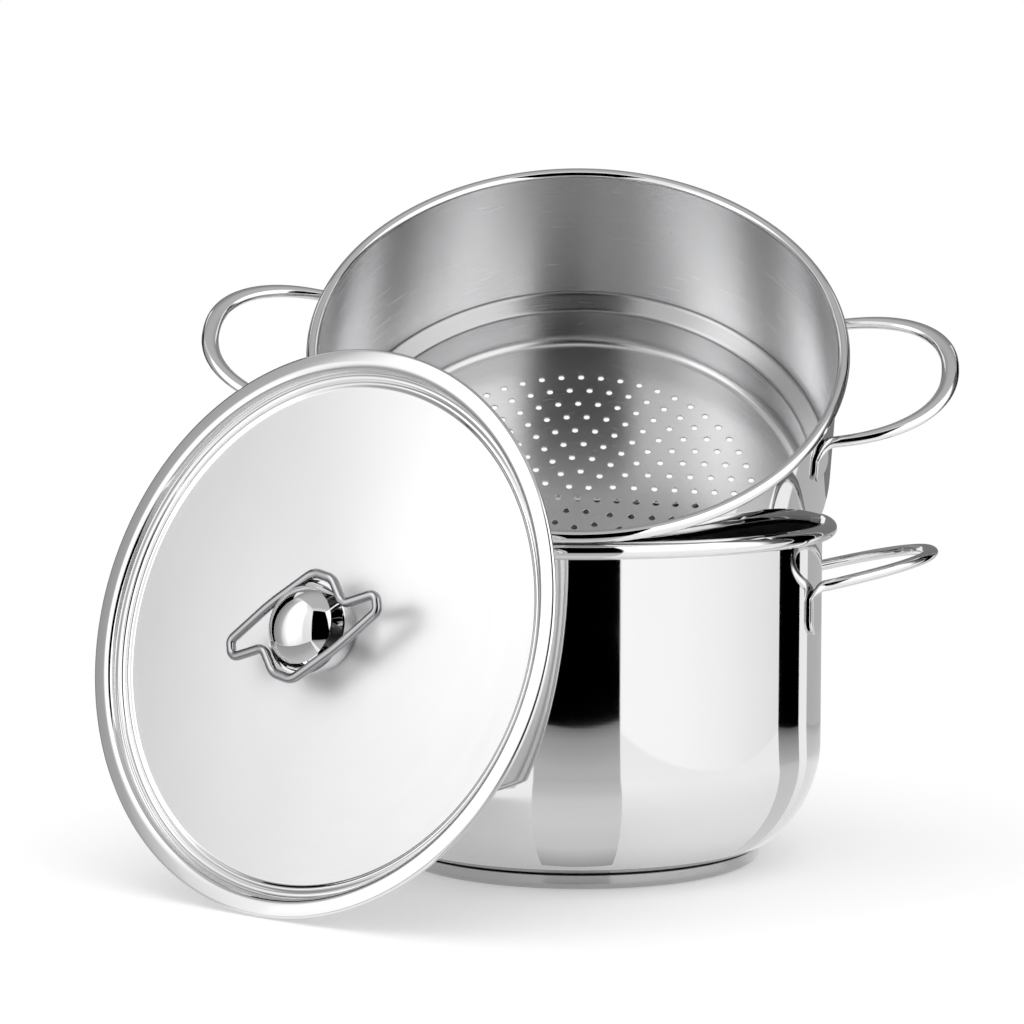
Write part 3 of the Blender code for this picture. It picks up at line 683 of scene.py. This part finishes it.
def foot_bend(sizes, foot_top, along_wall):
    """The bend over the foot, where the flat turns back into round wire."""
    wire = sizes.wire / 2
    plate = sizes.foot_thickness / 2
    rows = 12
    entries = []
    for i in range(1, rows + 1):
        part = i / rows
        angle = (math.pi / 2 - sizes.rise) * part
        swing = Vector((1 - math.cos(angle), 0.0, math.sin(angle))) * sizes.bend
        side = along_wall.lerp(Vector((0.0, 1.0, 0.0)), part).normalized()
        half_width = wire + (sizes.foot_width / 2 - wire) * (1 - part) ** 2
        entries.append((foot_top + swing, side, half_width, plate + (wire - plate) * part, 1 - part))
    return entries


def grip_run(sizes, start, wall_radius):
    """The wire's run from the bend to the middle of the grip, a quarter of a superellipse."""
    wire = sizes.wire / 2
    grip = sizes.grip / 2
    outward = Vector((math.cos(sizes.rise), 0.0, math.sin(sizes.rise)))
    reach = (wall_radius + sizes.reach - grip - start.x) / math.cos(sizes.rise)
    rows = 36
    entries = []
    for i in range(1, rows + 1):
        angle = math.pi / 2 * i / rows
        out = reach * math.sin(angle) ** (2 / sizes.bulge)
        aside = -start.y * (1 - math.cos(angle) ** (2 / sizes.bulge))
        centre = start + outward * out + Vector((0.0, aside, 0.0))
        entries.append((centre, None, wire + (grip - wire) * math.sin(angle), wire, 0.0))
    return entries


def handle_half(sizes, gap, wall_radius):
    """Half of a side handle, from the tip of its foot to the middle of its grip.

    Each entry is (centre, sideways direction, half width, half thickness, squareness).
    """
    around = math.asin(sizes.half_span / wall_radius)
    off_axis = wall_radius + gap + sizes.foot_thickness / 2
    foot = Vector((math.cos(around), -math.sin(around), 0.0)) * off_axis
    along_wall = Vector((math.sin(around), math.cos(around), 0.0))
    foot_top = foot + Vector((0.0, 0.0, -sizes.bend * math.sin(math.pi / 2 - sizes.rise)))
    half = pressed_foot(sizes, foot_top, along_wall) + foot_bend(sizes, foot_top, along_wall)
    return half + grip_run(sizes, half[-1][0], wall_radius)


def mirrored(entry):
    """The same section on the other half of the handle."""
    centre, side, half_width, half_thickness, squareness = entry
    flipped = Vector((centre.x, -centre.y, centre.z))
    if side is not None:
        side = Vector((side.x, -side.y, side.z))
    return flipped, side, half_width, half_thickness, squareness


def side_handle(name, scene, wall_radius, place):
    """A wire bent into a D, its ends pressed flat as feet that are welded to the wall."""
    sizes = scene.pot_handles
    half = handle_half(sizes, scene.pot_sheets.gap, wall_radius)
    route = half + [mirrored(entry) for entry in reversed(half[:-1])]
    loop_normal = Vector((-math.sin(sizes.rise), 0.0, math.cos(sizes.rise)))
    path = []
    length = 0.0
    for i, (centre, side, half_width, half_thickness, squareness) in enumerate(route):
        along = route[min(i + 1, len(route) - 1)][0] - route[max(i - 1, 0)][0]
        along.normalize()
        if side is None:
            side = loop_normal.cross(along)
        side = (side - along * side.dot(along)).normalized()
        normal = along.cross(side)
        length += (centre - route[max(i - 1, 0)][0]).length
        outline = wire_section(centre, side, normal, half_width, half_thickness, squareness, sizes.sides)
        path.append((length, outline))
    bm = bmesh.new()
    rings = loft(bm, path, sizes.sides)
    bm.faces.new(rings[0][::-1])
    bm.faces.new(rings[-1])
    return piece(name, bm, ["wire_polish"], place, WIRE_SHARP)


def rounded_route(corners, rows=8):
    """A closed plan of straight runs with an arc at each corner, given as (point, bend radius)."""
    route = []
    for i, (corner, radius) in enumerate(corners):
        before = (corners[i - 1][0] - corner).normalized()
        after = (corners[(i + 1) % len(corners)][0] - corner).normalized()
        half_angle = before.angle(after) / 2
        middle = (before + after).normalized()
        centre = corner + middle * (radius / math.sin(half_angle))
        sweep = math.pi - 2 * half_angle
        turn = 1 if before.cross(after) < 0 else -1
        for j in range(rows + 1):
            angle = turn * sweep * (j / rows - 0.5)
            route.append(centre + Matrix.Rotation(angle, 2) @ (-middle * radius))
    return route


class COUSCOUS_OT_pot_body(Operator):
    """Make the mirror-polished pot with its rolled lip, and the sandwich base under it"""

    bl_idname = "couscous.pot_body"
    bl_label = "Pot"

    def shell(self, sheets, pot, floor):
        """The drawn pot, polished outside and satin inside, with its rolled pouring lip."""
        polished, satin = 0, 1
        sheet = sheets.thickness
        inside = soft_corner(
            pot.radius - sheet,
            floor + sheet,
            pot.corner_width - sheet,
            pot.corner_height - sheet,
            pot.corner_power,
        )
        outside = soft_corner(pot.radius, floor, pot.corner_width, pot.corner_height, pot.corner_power)
        lip_centre = pot.radius - sheet + pot.lip
        lip_level = pot.height - pot.lip
        bead = arc(lip_centre, lip_level, pot.lip, 180, -under_bead(pot.lip, sheet), 28)
        outline = with_finish([(0.0, floor + sheet)] + inside[::-1], satin)
        outline += with_finish(bead + outside + [(0.0, floor)], polished)
        bm = bmesh.new()
        spin(bm, outline, sheets.turn_steps)
        body = piece("pot_body", bm, ["mirror_polish", "satin_bowl"])
        seat(body, "pot", "pot_shell")

    def base(self, sheets, pot, floor):
        """The cap of the sandwich base, with a softened upper edge, and the finish of its core. The cap's
        brushed tone is partly its own and partly painted shade.
        """
        sheet = sheets.thickness
        ease = 0.3 * sheet
        bend = pot.base_radius - pot.base_corner
        wall = pot.base_radius - sheet
        top = floor - 0.1 * sheets.gap
        profile = [(0.0, sheet)] + arc(bend, pot.base_corner, pot.base_corner - sheet, -90, 0, 8)
        profile += [(wall, top - ease), (wall + ease, top)]
        profile += [(pot.base_radius - ease, top), (pot.base_radius, top - ease)]
        profile += arc(bend, pot.base_corner, pot.base_corner, 0, -90, 16) + [(0.0, 0.0)]
        bm = bmesh.new()
        spin(bm, with_finish(profile, 0), sheets.turn_steps)
        cap = piece("pot_base", bm, ["brushed_base"])
        seat(cap, "pot", "base_cap")
        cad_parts["base_core"].material_slots[0].material = finish_named("core_aluminium")

    def execute(self, context):
        scene = context.scene
        floor = base_top(scene.pot_sheets, scene.pot_body)
        self.shell(scene.pot_sheets, scene.pot_body, floor)
        self.base(scene.pot_sheets, scene.pot_body, floor)
        return {"FINISHED"}


class COUSCOUS_OT_steamer(Operator):
    """Make the steamer: satin inside, polished outside, with its perforated floor"""

    bl_idname = "couscous.steamer"
    bl_label = "Steamer"

    def shoulder(self, steamer, spigot):
        """The slope from the wall in to the spigot, with a soft bend at each end."""
        ease = steamer.shoulder_ease
        top = -steamer.shoulder_top
        bottom = top - steamer.shoulder_height
        slope = (steamer.radius - spigot) / steamer.shoulder_height
        bend = ((0.0, 1.0), (0.12, 0.3), (0.35 * slope, -0.35), (slope, -1.0))
        upper = [(steamer.radius - ease * across, top + ease * up) for across, up in bend]
        lower = [(spigot + ease * across, bottom - ease * up) for across, up in reversed(bend)]
        return upper + lower

    def execute(self, context):
        polished, bowl, grate, drawn = range(4)
        scene = context.scene
        sheets = scene.pot_sheets
        steamer = scene.pot_steamer
        sheet = sheets.thickness
        corner = steamer.spigot_corner
        floor = -steamer.depth
        spigot = scene.pot_body.radius - sheet - steamer.spigot_clearance
        shoulder = self.shoulder(steamer, spigot)
        bend = spigot - corner
        field = bend - steamer.hole_margin
        plain = field + 0.6 * steamer.hole_margin
        bottom = [(plain, floor + sheet)] + arc(bend, floor + corner, corner - sheet, -90, 0, 12)
        step = [(r - sheet, z) for r, z in reversed(shoulder)]
        lip_centre = steamer.radius - sheet + steamer.lip
        bead = arc(lip_centre, 0.0, steamer.lip, 180, -under_bead(steamer.lip, sheet), 24)
        outside = shoulder + arc(bend, floor + corner, corner, 0, -90, 12) + [(plain, floor)]
        # The grate and the inner shoulder take satin finishes whose darker tones are painted shade
        outline = with_finish(bottom, grate) + with_finish(step[:-1], drawn)
        outline += with_finish(step[-1:], bowl) + with_finish(bead + outside, polished)
        bm = bmesh.new()
        rings = spin(bm, outline, sheets.turn_steps)
        perforate(bm, steamer, sheets, rings[0], rings[-1], field, grate)
        finishes = ["mirror_polish", "satin_bowl", "satin_grate", "satin_drawn"]
        basket = piece("steamer_bowl", bm, finishes, steamer_place(scene))
        seat(basket, "steamer", "steamer_shell")
        return {"FINISHED"}


class COUSCOUS_OT_handles(Operator):
    """Make the four wire handles of the pot and the steamer"""

    bl_idname = "couscous.handles"
    bl_label = "Handles"

    def execute(self, context):
        scene = context.scene
        sizes = scene.pot_handles
        bowl = steamer_place(scene)
        pot_level = Matrix.Translation((0.0, 0.0, scene.pot_body.height - sizes.pot_drop))
        steamer_level = bowl @ Matrix.Translation((0.0, 0.0, -sizes.steamer_drop))
        for side, turn in (("right", 0.0), ("left", math.pi)):
            swing = Matrix.Rotation(turn, 4, "Z")
            loop = side_handle("pot_grip_" + side, scene, scene.pot_body.radius, pot_level @ swing)
            seat(loop, "pot", "pot_handle_" + side)
            radius = scene.pot_steamer.radius
            loop = side_handle("steamer_grip_" + side, scene, radius, steamer_level @ swing)
            seat(loop, "steamer", "steamer_handle_" + side)
        return {"FINISHED"}


class COUSCOUS_OT_lid(Operator):
    """Make the pressed lid with its flange, recess, stiffening ring and satin disc"""

    bl_idname = "couscous.lid"
    bl_label = "Lid"

    def side(self, scene, level_shift, bend_shift):
        """One face of the lid's sheet, from the flange's flat in to the foot of the ring."""
        lid = scene.pot_lid
        sheet = scene.pot_sheets.thickness
        wall = scene.pot_steamer.radius - 2 * sheet - lid.mouth_clearance
        corner = wall - lid.recess_bend
        shoulder = lid.shoulder - bend_shift
        points = arc(wall + lid.shoulder, -lid.shoulder, shoulder, 90, 180, 14)
        points += arc(corner, lid.recess_bend - lid.recess, lid.recess_bend + bend_shift, 0, -90, 10)
        rows = 16
        for i in range(1, rows + 1):
            part = i / rows
            lift = lid.rib_height * (1 - math.cos(2 * math.pi * part)) / 2
            points.append((corner - lid.rib_width * part, level_shift - lid.recess + lift))
        return points

    def execute(self, context):
        polished, satin = 0, 1
        scene = context.scene
        lid = scene.pot_lid
        knob = scene.pot_knob
        sheet = scene.pot_sheets.thickness
        bore = knob.screw + knob.screw_clearance
        edge = lid.radius - lid.edge
        upper = self.side(scene, 0.0, 0.0)
        under = self.side(scene, -sheet, sheet)
        meet = math.degrees(math.asin((lid.edge - sheet) / lid.edge))
        curl = arc(edge, -lid.edge, lid.edge, 90, meet - 180, 18)[:-1]
        curl.append((edge - lid.edge * math.cos(math.radians(meet)), -sheet))
        outline = [(bore, -lid.recess, satin)] + with_finish(upper[::-1] + curl, polished)
        outline += with_finish(under, satin) + [(bore, -lid.recess - sheet, polished)]
        bm = bmesh.new()
        spin(bm, outline, scene.pot_sheets.turn_steps, closed=True)
        cover = piece("lid_cover", bm, ["mirror_polish", "satin_lid"], lid_place(scene))
        seat(cover, "lid", "lid_disc")
        return {"FINISHED"}


class COUSCOUS_OT_knob(Operator):
    """Make the knob: dome, cup, finger loop, stem, screw and washer"""

    bl_idname = "couscous.knob"
    bl_label = "Knob"

    def turned(self, scene, name, profile, finish, slot, cad_node, closed=False):
        """Spins one small piece of the knob and seats it on the lid."""
        bm = bmesh.new()
        spin(bm, with_finish(profile, 0), scene.pot_sheets.small_turn_steps, closed)
        seat(piece(name, bm, [finish], lid_place(scene)), "lid", cad_node)

    def loop(self, scene, knob):
        """The finger loop: one closed wire, skewed so that each end is a narrow eye."""
        crest = Vector(knob.crest)
        slope = (crest.y - knob.near_side) / (crest.x + knob.half_length)
        first = Vector((-knob.half_length, crest.y - slope * (crest.x + knob.half_length)))
        run = crest - first
        bow = (first + crest) / 2 + Vector((-run.y, run.x)).normalized() * knob.bow
        upper = [
            (first, knob.tip_bend),
            (bow, knob.bow_bend),
            (crest, knob.crest_bend),
            (Vector(knob.hip), knob.crest_bend),
            (Vector(knob.neck), knob.neck_bend),
            (Vector((knob.half_length, knob.near_side)), knob.tip_bend),
        ]
        route = rounded_route(upper + [(-point, bend) for point, bend in upper])
        sides = scene.pot_handles.sides
        radius = knob.wire / 2
        up = Vector((0.0, 0.0, 1.0))
        path = []
        length = 0.0
        closed = route + route[:1]
        for i, centre in enumerate(closed):
            along = route[(i + 1) % len(route)] - route[i % len(route) - 1]
            side = Vector((along.y, -along.x, 0.0)).normalized()
            length += (centre - closed[max(i - 1, 0)]).length
            outline = wire_section(centre.to_3d(), side, up, radius, radius, 0.0, sides)
            path.append((length, outline))
        bm = bmesh.new()
        loft(bm, path, sides)
        bmesh.ops.remove_doubles(bm, verts=bm.verts, dist=SAME_POINT)
        level = Matrix.Translation((0.0, 0.0, knob.level)) @ Matrix.Rotation(knob.turn, 4, "Z")
        wire = piece("finger_loop", bm, ["loop_polish"], lid_place(scene) @ level)
        seat(wire, "lid", "knob_loop")

    def dome(self, scene, knob, level):
        """The knob's polished cap, a pressed dome. It gives its sphere's middle back."""
        centre = level + knob.dome_height - knob.dome_sphere
        inner = knob.dome_sphere - knob.sheet
        rim = math.degrees(math.asin((level - centre) / knob.dome_sphere))
        inner_rim = math.degrees(math.asin((level - centre) / inner))
        profile = [(0.0, centre + knob.dome_sphere)]
        profile += arc(0.0, centre, knob.dome_sphere, 89, rim, 30)
        profile += arc(0.0, centre, inner, inner_rim, 89, 12) + [(0.0, centre + inner)]
        self.turned(scene, "knob_cap", profile, "mirror_polish", "mirror_steel", "knob_dome")
        return centre

    def cup(self, scene, knob, foot, top):
        """The flared cup that carries the wire loop on its rim."""
        bore = knob.screw + knob.screw_clearance
        outside = []
        rows = 24
        for i in range(rows + 1):
            part = i / rows
            r = knob.cup_foot + (knob.cup_rim - knob.cup_foot) * part**knob.cup_flare
            outside.append((r, foot + (top - foot) * part))
        inside = [(r - knob.sheet, max(z, foot + knob.sheet)) for r, z in outside]
        profile = [(bore, foot + knob.sheet)] + inside + outside[::-1] + [(bore, foot)]
        self.turned(scene, "knob_cup_polished", profile, "mirror_polish", "mirror_steel", "knob_cup", True)

    def stem(self, scene, knob, bottom, dome_centre):
        """The stem between the cup and the dome, with a blind bore that takes the screw."""
        gap = scene.pot_sheets.gap
        bore = knob.screw + knob.screw_clearance
        roof = dome_centre + math.sqrt((knob.dome_sphere - knob.sheet - gap) ** 2 - knob.stem**2)
        bore_top = bottom + knob.engagement + gap
        profile = [(0.0, roof), (knob.stem, roof), (knob.stem, bottom), (bore, bottom)]
        profile += [(bore, bore_top), (0.0, bore_top)]
        self.turned(scene, "knob_spacer", profile, "screw_thread", "satin_steel", "knob_stem")

    def screw(self, scene, knob, seat_level, tip):
        """The screw with its bevelled tip and a round head with a recess for the driver."""
        radius = knob.screw
        head = knob.screw_head
        low = seat_level - knob.head_height
        bevel = 0.2 * MM
        flat = 0.35
        side = 0.3
        profile = [(0.0, tip), (0.7 * radius, tip), (radius, tip - 0.4 * radius), (radius, seat_level)]
        profile += [(head - bevel, seat_level), (head, seat_level - bevel)]
        rows = 10
        for i in range(1, rows + 1):
            angle = i / rows * math.pi / 2
            drop = side + (1 - side) * math.sin(angle)
            r = head * (flat + (1 - flat) * math.cos(angle))
            profile.append((r, seat_level - knob.head_height * drop))
        profile += [(0.3 * head, low + 0.9 * MM), (0.0, low + 1.1 * MM)]
        self.turned(scene, "knob_bolt", profile, "screw_thread", "wire_steel", "knob_screw")

    def washer(self, scene, knob, top):
        """The washer between the lid's back and the screw's head."""
        bore = knob.screw + knob.screw_clearance
        low = top - knob.washer_thickness
        ease = 0.2 * MM
        rim = knob.washer
        profile = [(bore, top), (rim - ease, top), (rim, top - ease), (rim, low + ease)]
        profile += [(rim - ease, low), (bore, low)]
        self.turned(scene, "knob_ring", profile, "mirror_polish", "wire_steel", "knob_washer", True)

    def execute(self, context):
        scene = context.scene
        knob = scene.pot_knob
        gap = scene.pot_sheets.gap
        foot = gap - scene.pot_lid.recess
        back = -scene.pot_lid.recess - scene.pot_sheets.thickness
        dome_centre = self.dome(scene, knob, knob.level + knob.wire / 2 + gap)
        self.cup(scene, knob, foot, knob.level - knob.wire / 2 - gap)
        self.loop(scene, knob)
        bottom = foot + knob.sheet + gap
        self.stem(scene, knob, bottom, dome_centre)
        washer_top = back - gap
        seat_level = washer_top - knob.washer_thickness - gap
        self.screw(scene, knob, seat_level, bottom + knob.engagement)
        self.washer(scene, knob, washer_top)
        return {"FINISHED"}


class COUSCOUS_OT_studio(Operator):
    """Make the pale floor, the soft light, the panels that the steel mirrors, and the camera"""

    bl_idname = "couscous.studio"
    bl_label = "Studio"

    def seen(self, tree):
        """One for what the camera, mirrors and glass see, and zero for light on its way elsewhere."""
        rays = node(tree, "LightPath").outputs
        test = rays["Is Camera Ray"]
        for kind in ("Is Glossy Ray", "Is Transmission Ray"):
            test = node(tree, "Math", ((0, test), (1, rays[kind])), operation="MAXIMUM").outputs[0]
        return test

    def floor(self, studio):
        """A wide pale floor that keeps the shadow and fades to white away from the set."""
        half_side = 12.0
        fade_start = 0.3
        fade_end = 0.7
        bm = bmesh.new()
        bmesh.ops.create_grid(bm, x_segments=1, y_segments=1, size=half_side)
        material = bpy.data.materials.new("pale_floor")
        tree = bare_tree(material)
        own = node(tree, "TexCoord").outputs["Object"]
        away = node(tree, "VectorMath", ((0, own),), operation="LENGTH").outputs["Value"]
        inputs = ((0, away), (1, fade_start), (2, fade_end))
        fade = node(tree, "MapRange", inputs, interpolation_type="SMOOTHSTEP").outputs[0]
        pale = node(tree, "BsdfDiffuse", ((0, (*studio.floor, 1.0)),)).outputs[0]
        lift = node(tree, "Emission", ((1, studio.floor_lift),)).outputs[0]
        white = node(tree, "Emission", ((1, 1.0),)).outputs[0]
        near = node(tree, "AddShader", ((0, pale), (1, lift))).outputs[0]
        shown = node(tree, "MixShader", ((0, fade), (1, near), (2, white))).outputs[0]
        both = node(tree, "MixShader", ((0, self.seen(tree)), (1, pale), (2, shown))).outputs[0]
        node(tree, "OutputMaterial", ((0, both),))
        obj = new_object("studio_floor", bm, [material])
        obj.location.z = -0.2 * MM

    def card(self, name, strips):
        """A studio card that only polished surfaces see, skinned over strips of (point, tone)."""
        bm = bmesh.new()
        tones = bm.verts.layers.float.new("tone")
        rows = [[bm.verts.new(point) for point, _ in strip] for strip in strips]
        for strip, row in zip(strips, rows):
            for (_, tone), vert in zip(strip, row):
                vert[tones] = tone
        for one, other in zip(rows, rows[1:]):
            bm.faces.new((*one, *reversed(other)))
        obj = new_object(name, bm, [bpy.data.materials.get("card_glow") or self.card_glow()])
        obj.visible_camera = False
        obj.visible_diffuse = False
        obj.visible_shadow = False
        obj.visible_transmission = False

    def card_glow(self):
        """The light of a card, by the tone of its points."""
        material = bpy.data.materials.new("card_glow")
        tree = bare_tree(material)
        tone = node(tree, "Attribute", attribute_name="tone").outputs["Fac"]
        glow = node(tree, "Emission", ((1, tone),)).outputs[0]
        node(tree, "OutputMaterial", ((0, glow),))
        return material

    def upright(self, name, feet, columns):
        """An upright card over its feet.

        The columns are (share of the width, lowest, highest, tone, and a tone of its own for the top).
        """
        start, end = feet
        strips = []
        for part, low, high, *tones in columns:
            x = start[0] + (end[0] - start[0]) * part
            y = start[1] + (end[1] - start[1]) * part
            strips.append((((x, y, low), tones[0]), ((x, y, high), tones[-1])))
        self.card(name, strips)

    def even_card(self, name, feet, low, high, tone):
        """An upright card of one height and one tone."""
        self.upright(name, feet, ((0, low, high, tone), (1, low, high, tone)))

    def shade(self, name, far, near, rows):
        """A shade on the floor, from a card's feet toward the pot. The rows are (share, tone)."""
        strips = []
        for part, tone in rows:
            ends = [Vector(foot).lerp(Vector(front), part) for foot, front in zip(far, near)]
            strips.append([((end.x, end.y, SHADE_LEVEL), tone) for end in ends])
        self.card(name, strips)

    def on_side(self, feet, sign):
        """Feet that are given for the right, kept there by a sign of 1 or mirrored by one of -1."""
        return [(sign * x, y) for x, y in feet]

    def gap_card(self):
        """The black gap before the camera and its shade."""
        self.even_card("gap_card", GAP, 0, GAP_TOP, 0)
        rows = [(0, 0.19), (0.1, 0.36), (0.2, 0.43), (0.3, 0.52), (0.7, 0.6), (0.8, 0.7), (0.9, 0.73)]
        rows += [(0.96, 0.66), (1, 0.35)]
        self.shade("gap_shade", GAP, GAP_SHADE_END, rows)

    def softboxes(self):
        """The white softboxes beside the gap. The right one has an upper part of its own."""
        columns = [(0, SPLIT, 1.17), (0.35, SPLIT, 1.15), (0.6, SPLIT, 1.07), (0.74, SPLIT, 1.0)]
        columns += [(0.79, 0.124, 0.99), (0.9, 0.121, 0.95), (0.96, 0.118, 0.93)]
        columns += [(0.985, 0.115, 0.92), (1, 0.109, 0.92)]
        self.upright("softbox_right", SOFTBOX, [(part, 0, top, tone) for part, top, tone in columns])
        columns = ((0, 1.65), (0.35, 1.65), (0.7, 1.45), (0.8, 0.2), (1, 0))
        columns = [(part, SPLIT, SOFTBOX_TOP, tone) for part, tone in columns]
        self.upright("softbox_top", SOFTBOX, columns)

        left = self.on_side(SOFTBOX, -1)
        columns = [(0, 0.95, 1.1), (0.25, 0.9, 1.1), (0.42, 1.1, 2.5), (0.55, 1.1, 2.55)]
        columns += [(0.63, 0.8, 1.4), (0.7, 0.45, 0.55), (1, 0.3, 0.3)]
        bright = [(part, 0, BRIGHT_TOP, foot, top) for part, foot, top in columns]
        self.upright("softbox_left", left, bright)
        fading = [(part, BRIGHT_TOP, GAP_TOP, top, 0.9) for part, _, top in columns]
        self.upright("softbox_fade", left, fading)

    def side_cards(self, hand, sign):
        """One side's black flag, the hood over its bright strip, its grey card, and their shades."""
        flag = self.on_side(FLAG, sign)
        self.even_card("flag_" + hand, flag, 0, FLAG_TOP, 0)
        rows = ((0, 0.1), (0.08, 0.27), (0.2, 0.42), (0.3, 0.54), (0.4, 0.61), (0.6, 0.66), (1, 0.7))
        self.shade("flag_shade_" + hand, flag, self.on_side(FLAG_SHADE_END, sign), rows)
        self.even_card("strip_hood_" + hand, self.on_side(STRIP, sign), STRIP_TOP, FLAG_TOP, 0.1)
        grey = self.on_side(GREY, sign)
        self.even_card("grey_" + hand, grey, 0, SPLIT, 0.5)
        self.even_card("grey_top_" + hand, grey, SPLIT, FLAG_TOP, 0.2)
        rows = ((0, 0.42), (0.1, 0.58), (0.2, 0.63), (0.3, 0.68), (0.45, 0.85), (1, 0.85))
        self.shade("grey_shade_" + hand, grey, self.on_side(GREY_SHADE_END, sign), rows)

    def far_cards(self):
        """The card high behind the set, the shade before the lid, and the sky over them."""
        self.even_card("back_card", BACK, 0.3, 1.8, 0.3)
        self.shade("left_shade", LID_SHADE, LID_SHADE_END, ((0, 0.36), (0.6, 0.45), (1, 0.7)))
        half_width = 1.6
        strips = []
        for y, tone in ((0.64, 0.3), (0.2, 0.5), (-0.2, 0.55), (-0.9, 0.55), (-1.3, 0.95)):
            strips.append([((x, y, SKY_LEVEL), tone) for x in (-half_width, half_width)])
        self.card("sky_card", strips)

    def world(self, scene, studio):
        """White to camera, mirrors and glass, and a soft plain light to all else."""
        scene.world = bpy.data.worlds.new("studio_world")
        tree = bare_tree(scene.world)
        bright = (1.0, 1.0, 1.0, 1.0)
        white = node(tree, "Background", ((0, bright), (1, 1.0))).outputs[0]
        soft = node(tree, "Background", ((0, bright), (1, studio.sky))).outputs[0]
        both = node(tree, "MixShader", ((0, self.seen(tree)), (1, soft), (2, white))).outputs[0]
        node(tree, "OutputWorld", ((0, both),))

    def lamp(self, scene, studio):
        """The soft light over the set. Polished steel shows the cards in its place."""
        light = bpy.data.lights.new("overhead_soft_light", "AREA")
        light.shape = "RECTANGLE"
        light.size = studio.lamp_width
        light.size_y = studio.lamp_depth
        light.energy = studio.lamp
        lamp = bpy.data.objects.new("overhead_soft_light", light)
        lamp.location = studio.lamp_place
        lamp.rotation_euler = (-Vector(studio.lamp_place)).to_track_quat("-Z", "Y").to_euler()
        lamp.visible_glossy = False
        scene.collection.objects.link(lamp)

    def camera(self, scene, studio):
        """The camera, with the photograph's place, dip and turn."""
        view = bpy.data.cameras.new("studio_camera")
        view.lens = studio.camera_lens
        view.sensor_width = 36.0
        view.clip_start = 0.05
        view.clip_end = 60.0
        camera = bpy.data.objects.new("studio_camera", view)
        camera.location = studio.camera_place
        camera.rotation_euler = (math.pi / 2 - studio.camera_dip, 0.0, -studio.camera_turn)
        scene.collection.objects.link(camera)
        scene.camera = camera

    def execute(self, context):
        scene = context.scene
        studio = scene.pot_studio
        self.floor(studio)
        self.gap_card()
        self.softboxes()
        self.side_cards("right", 1)
        self.side_cards("left", -1)
        self.far_cards()
        self.world(scene, studio)
        self.lamp(scene, studio)
        self.camera(scene, studio)
        scene.view_settings.view_transform = "Standard"
        return {"FINISHED"}


GROUPS = {
    "pot_sheets": SheetSizes,
    "pot_body": PotSizes,
    "pot_steamer": SteamerSizes,
    "pot_handles": HandleSizes,
    "pot_lid": LidSizes,
    "pot_knob": KnobSizes,
    "pot_finishes": Finishes,
    "pot_studio": Studio,
}

STEPS = (
    COUSCOUS_OT_pot_body,
    COUSCOUS_OT_steamer,
    COUSCOUS_OT_handles,
    COUSCOUS_OT_lid,
    COUSCOUS_OT_knob,
    COUSCOUS_OT_studio,
)


class COUSCOUS_PT_sidebar(Panel):
    """The sidebar panel with the steps and the sizes"""

    bl_idname = "COUSCOUS_PT_sidebar"
    bl_label = "Couscous Pot"
    bl_space_type = "VIEW_3D"
    bl_region_type = "UI"
    bl_category = "Couscous Pot"

    def draw(self, context):
        layout = self.layout
        for step in STEPS:
            layout.operator(step.bl_idname)
        for name, group in GROUPS.items():
            box = layout.box()
            box.label(text=group.__doc__)
            for field in group.__annotations__:
                box.prop(getattr(context.scene, name), field)


def register():
    for group in GROUPS.values():
        bpy.utils.register_class(group)
    for name, group in GROUPS.items():
        setattr(bpy.types.Scene, name, PointerProperty(type=group))
    for step in STEPS:
        bpy.utils.register_class(step)
    bpy.utils.register_class(COUSCOUS_PT_sidebar)


def unregister():
    bpy.utils.unregister_class(COUSCOUS_PT_sidebar)
    for step in reversed(STEPS):
        bpy.utils.unregister_class(step)
    for name, group in GROUPS.items():
        delattr(bpy.types.Scene, name)
        bpy.utils.unregister_class(group)


def main():
    register()
    bpy.ops.couscous.pot_body()
    bpy.ops.couscous.steamer()
    bpy.ops.couscous.handles()
    bpy.ops.couscous.lid()
    bpy.ops.couscous.knob()
    bpy.ops.couscous.studio()


if __name__ == "__main__":
    main()
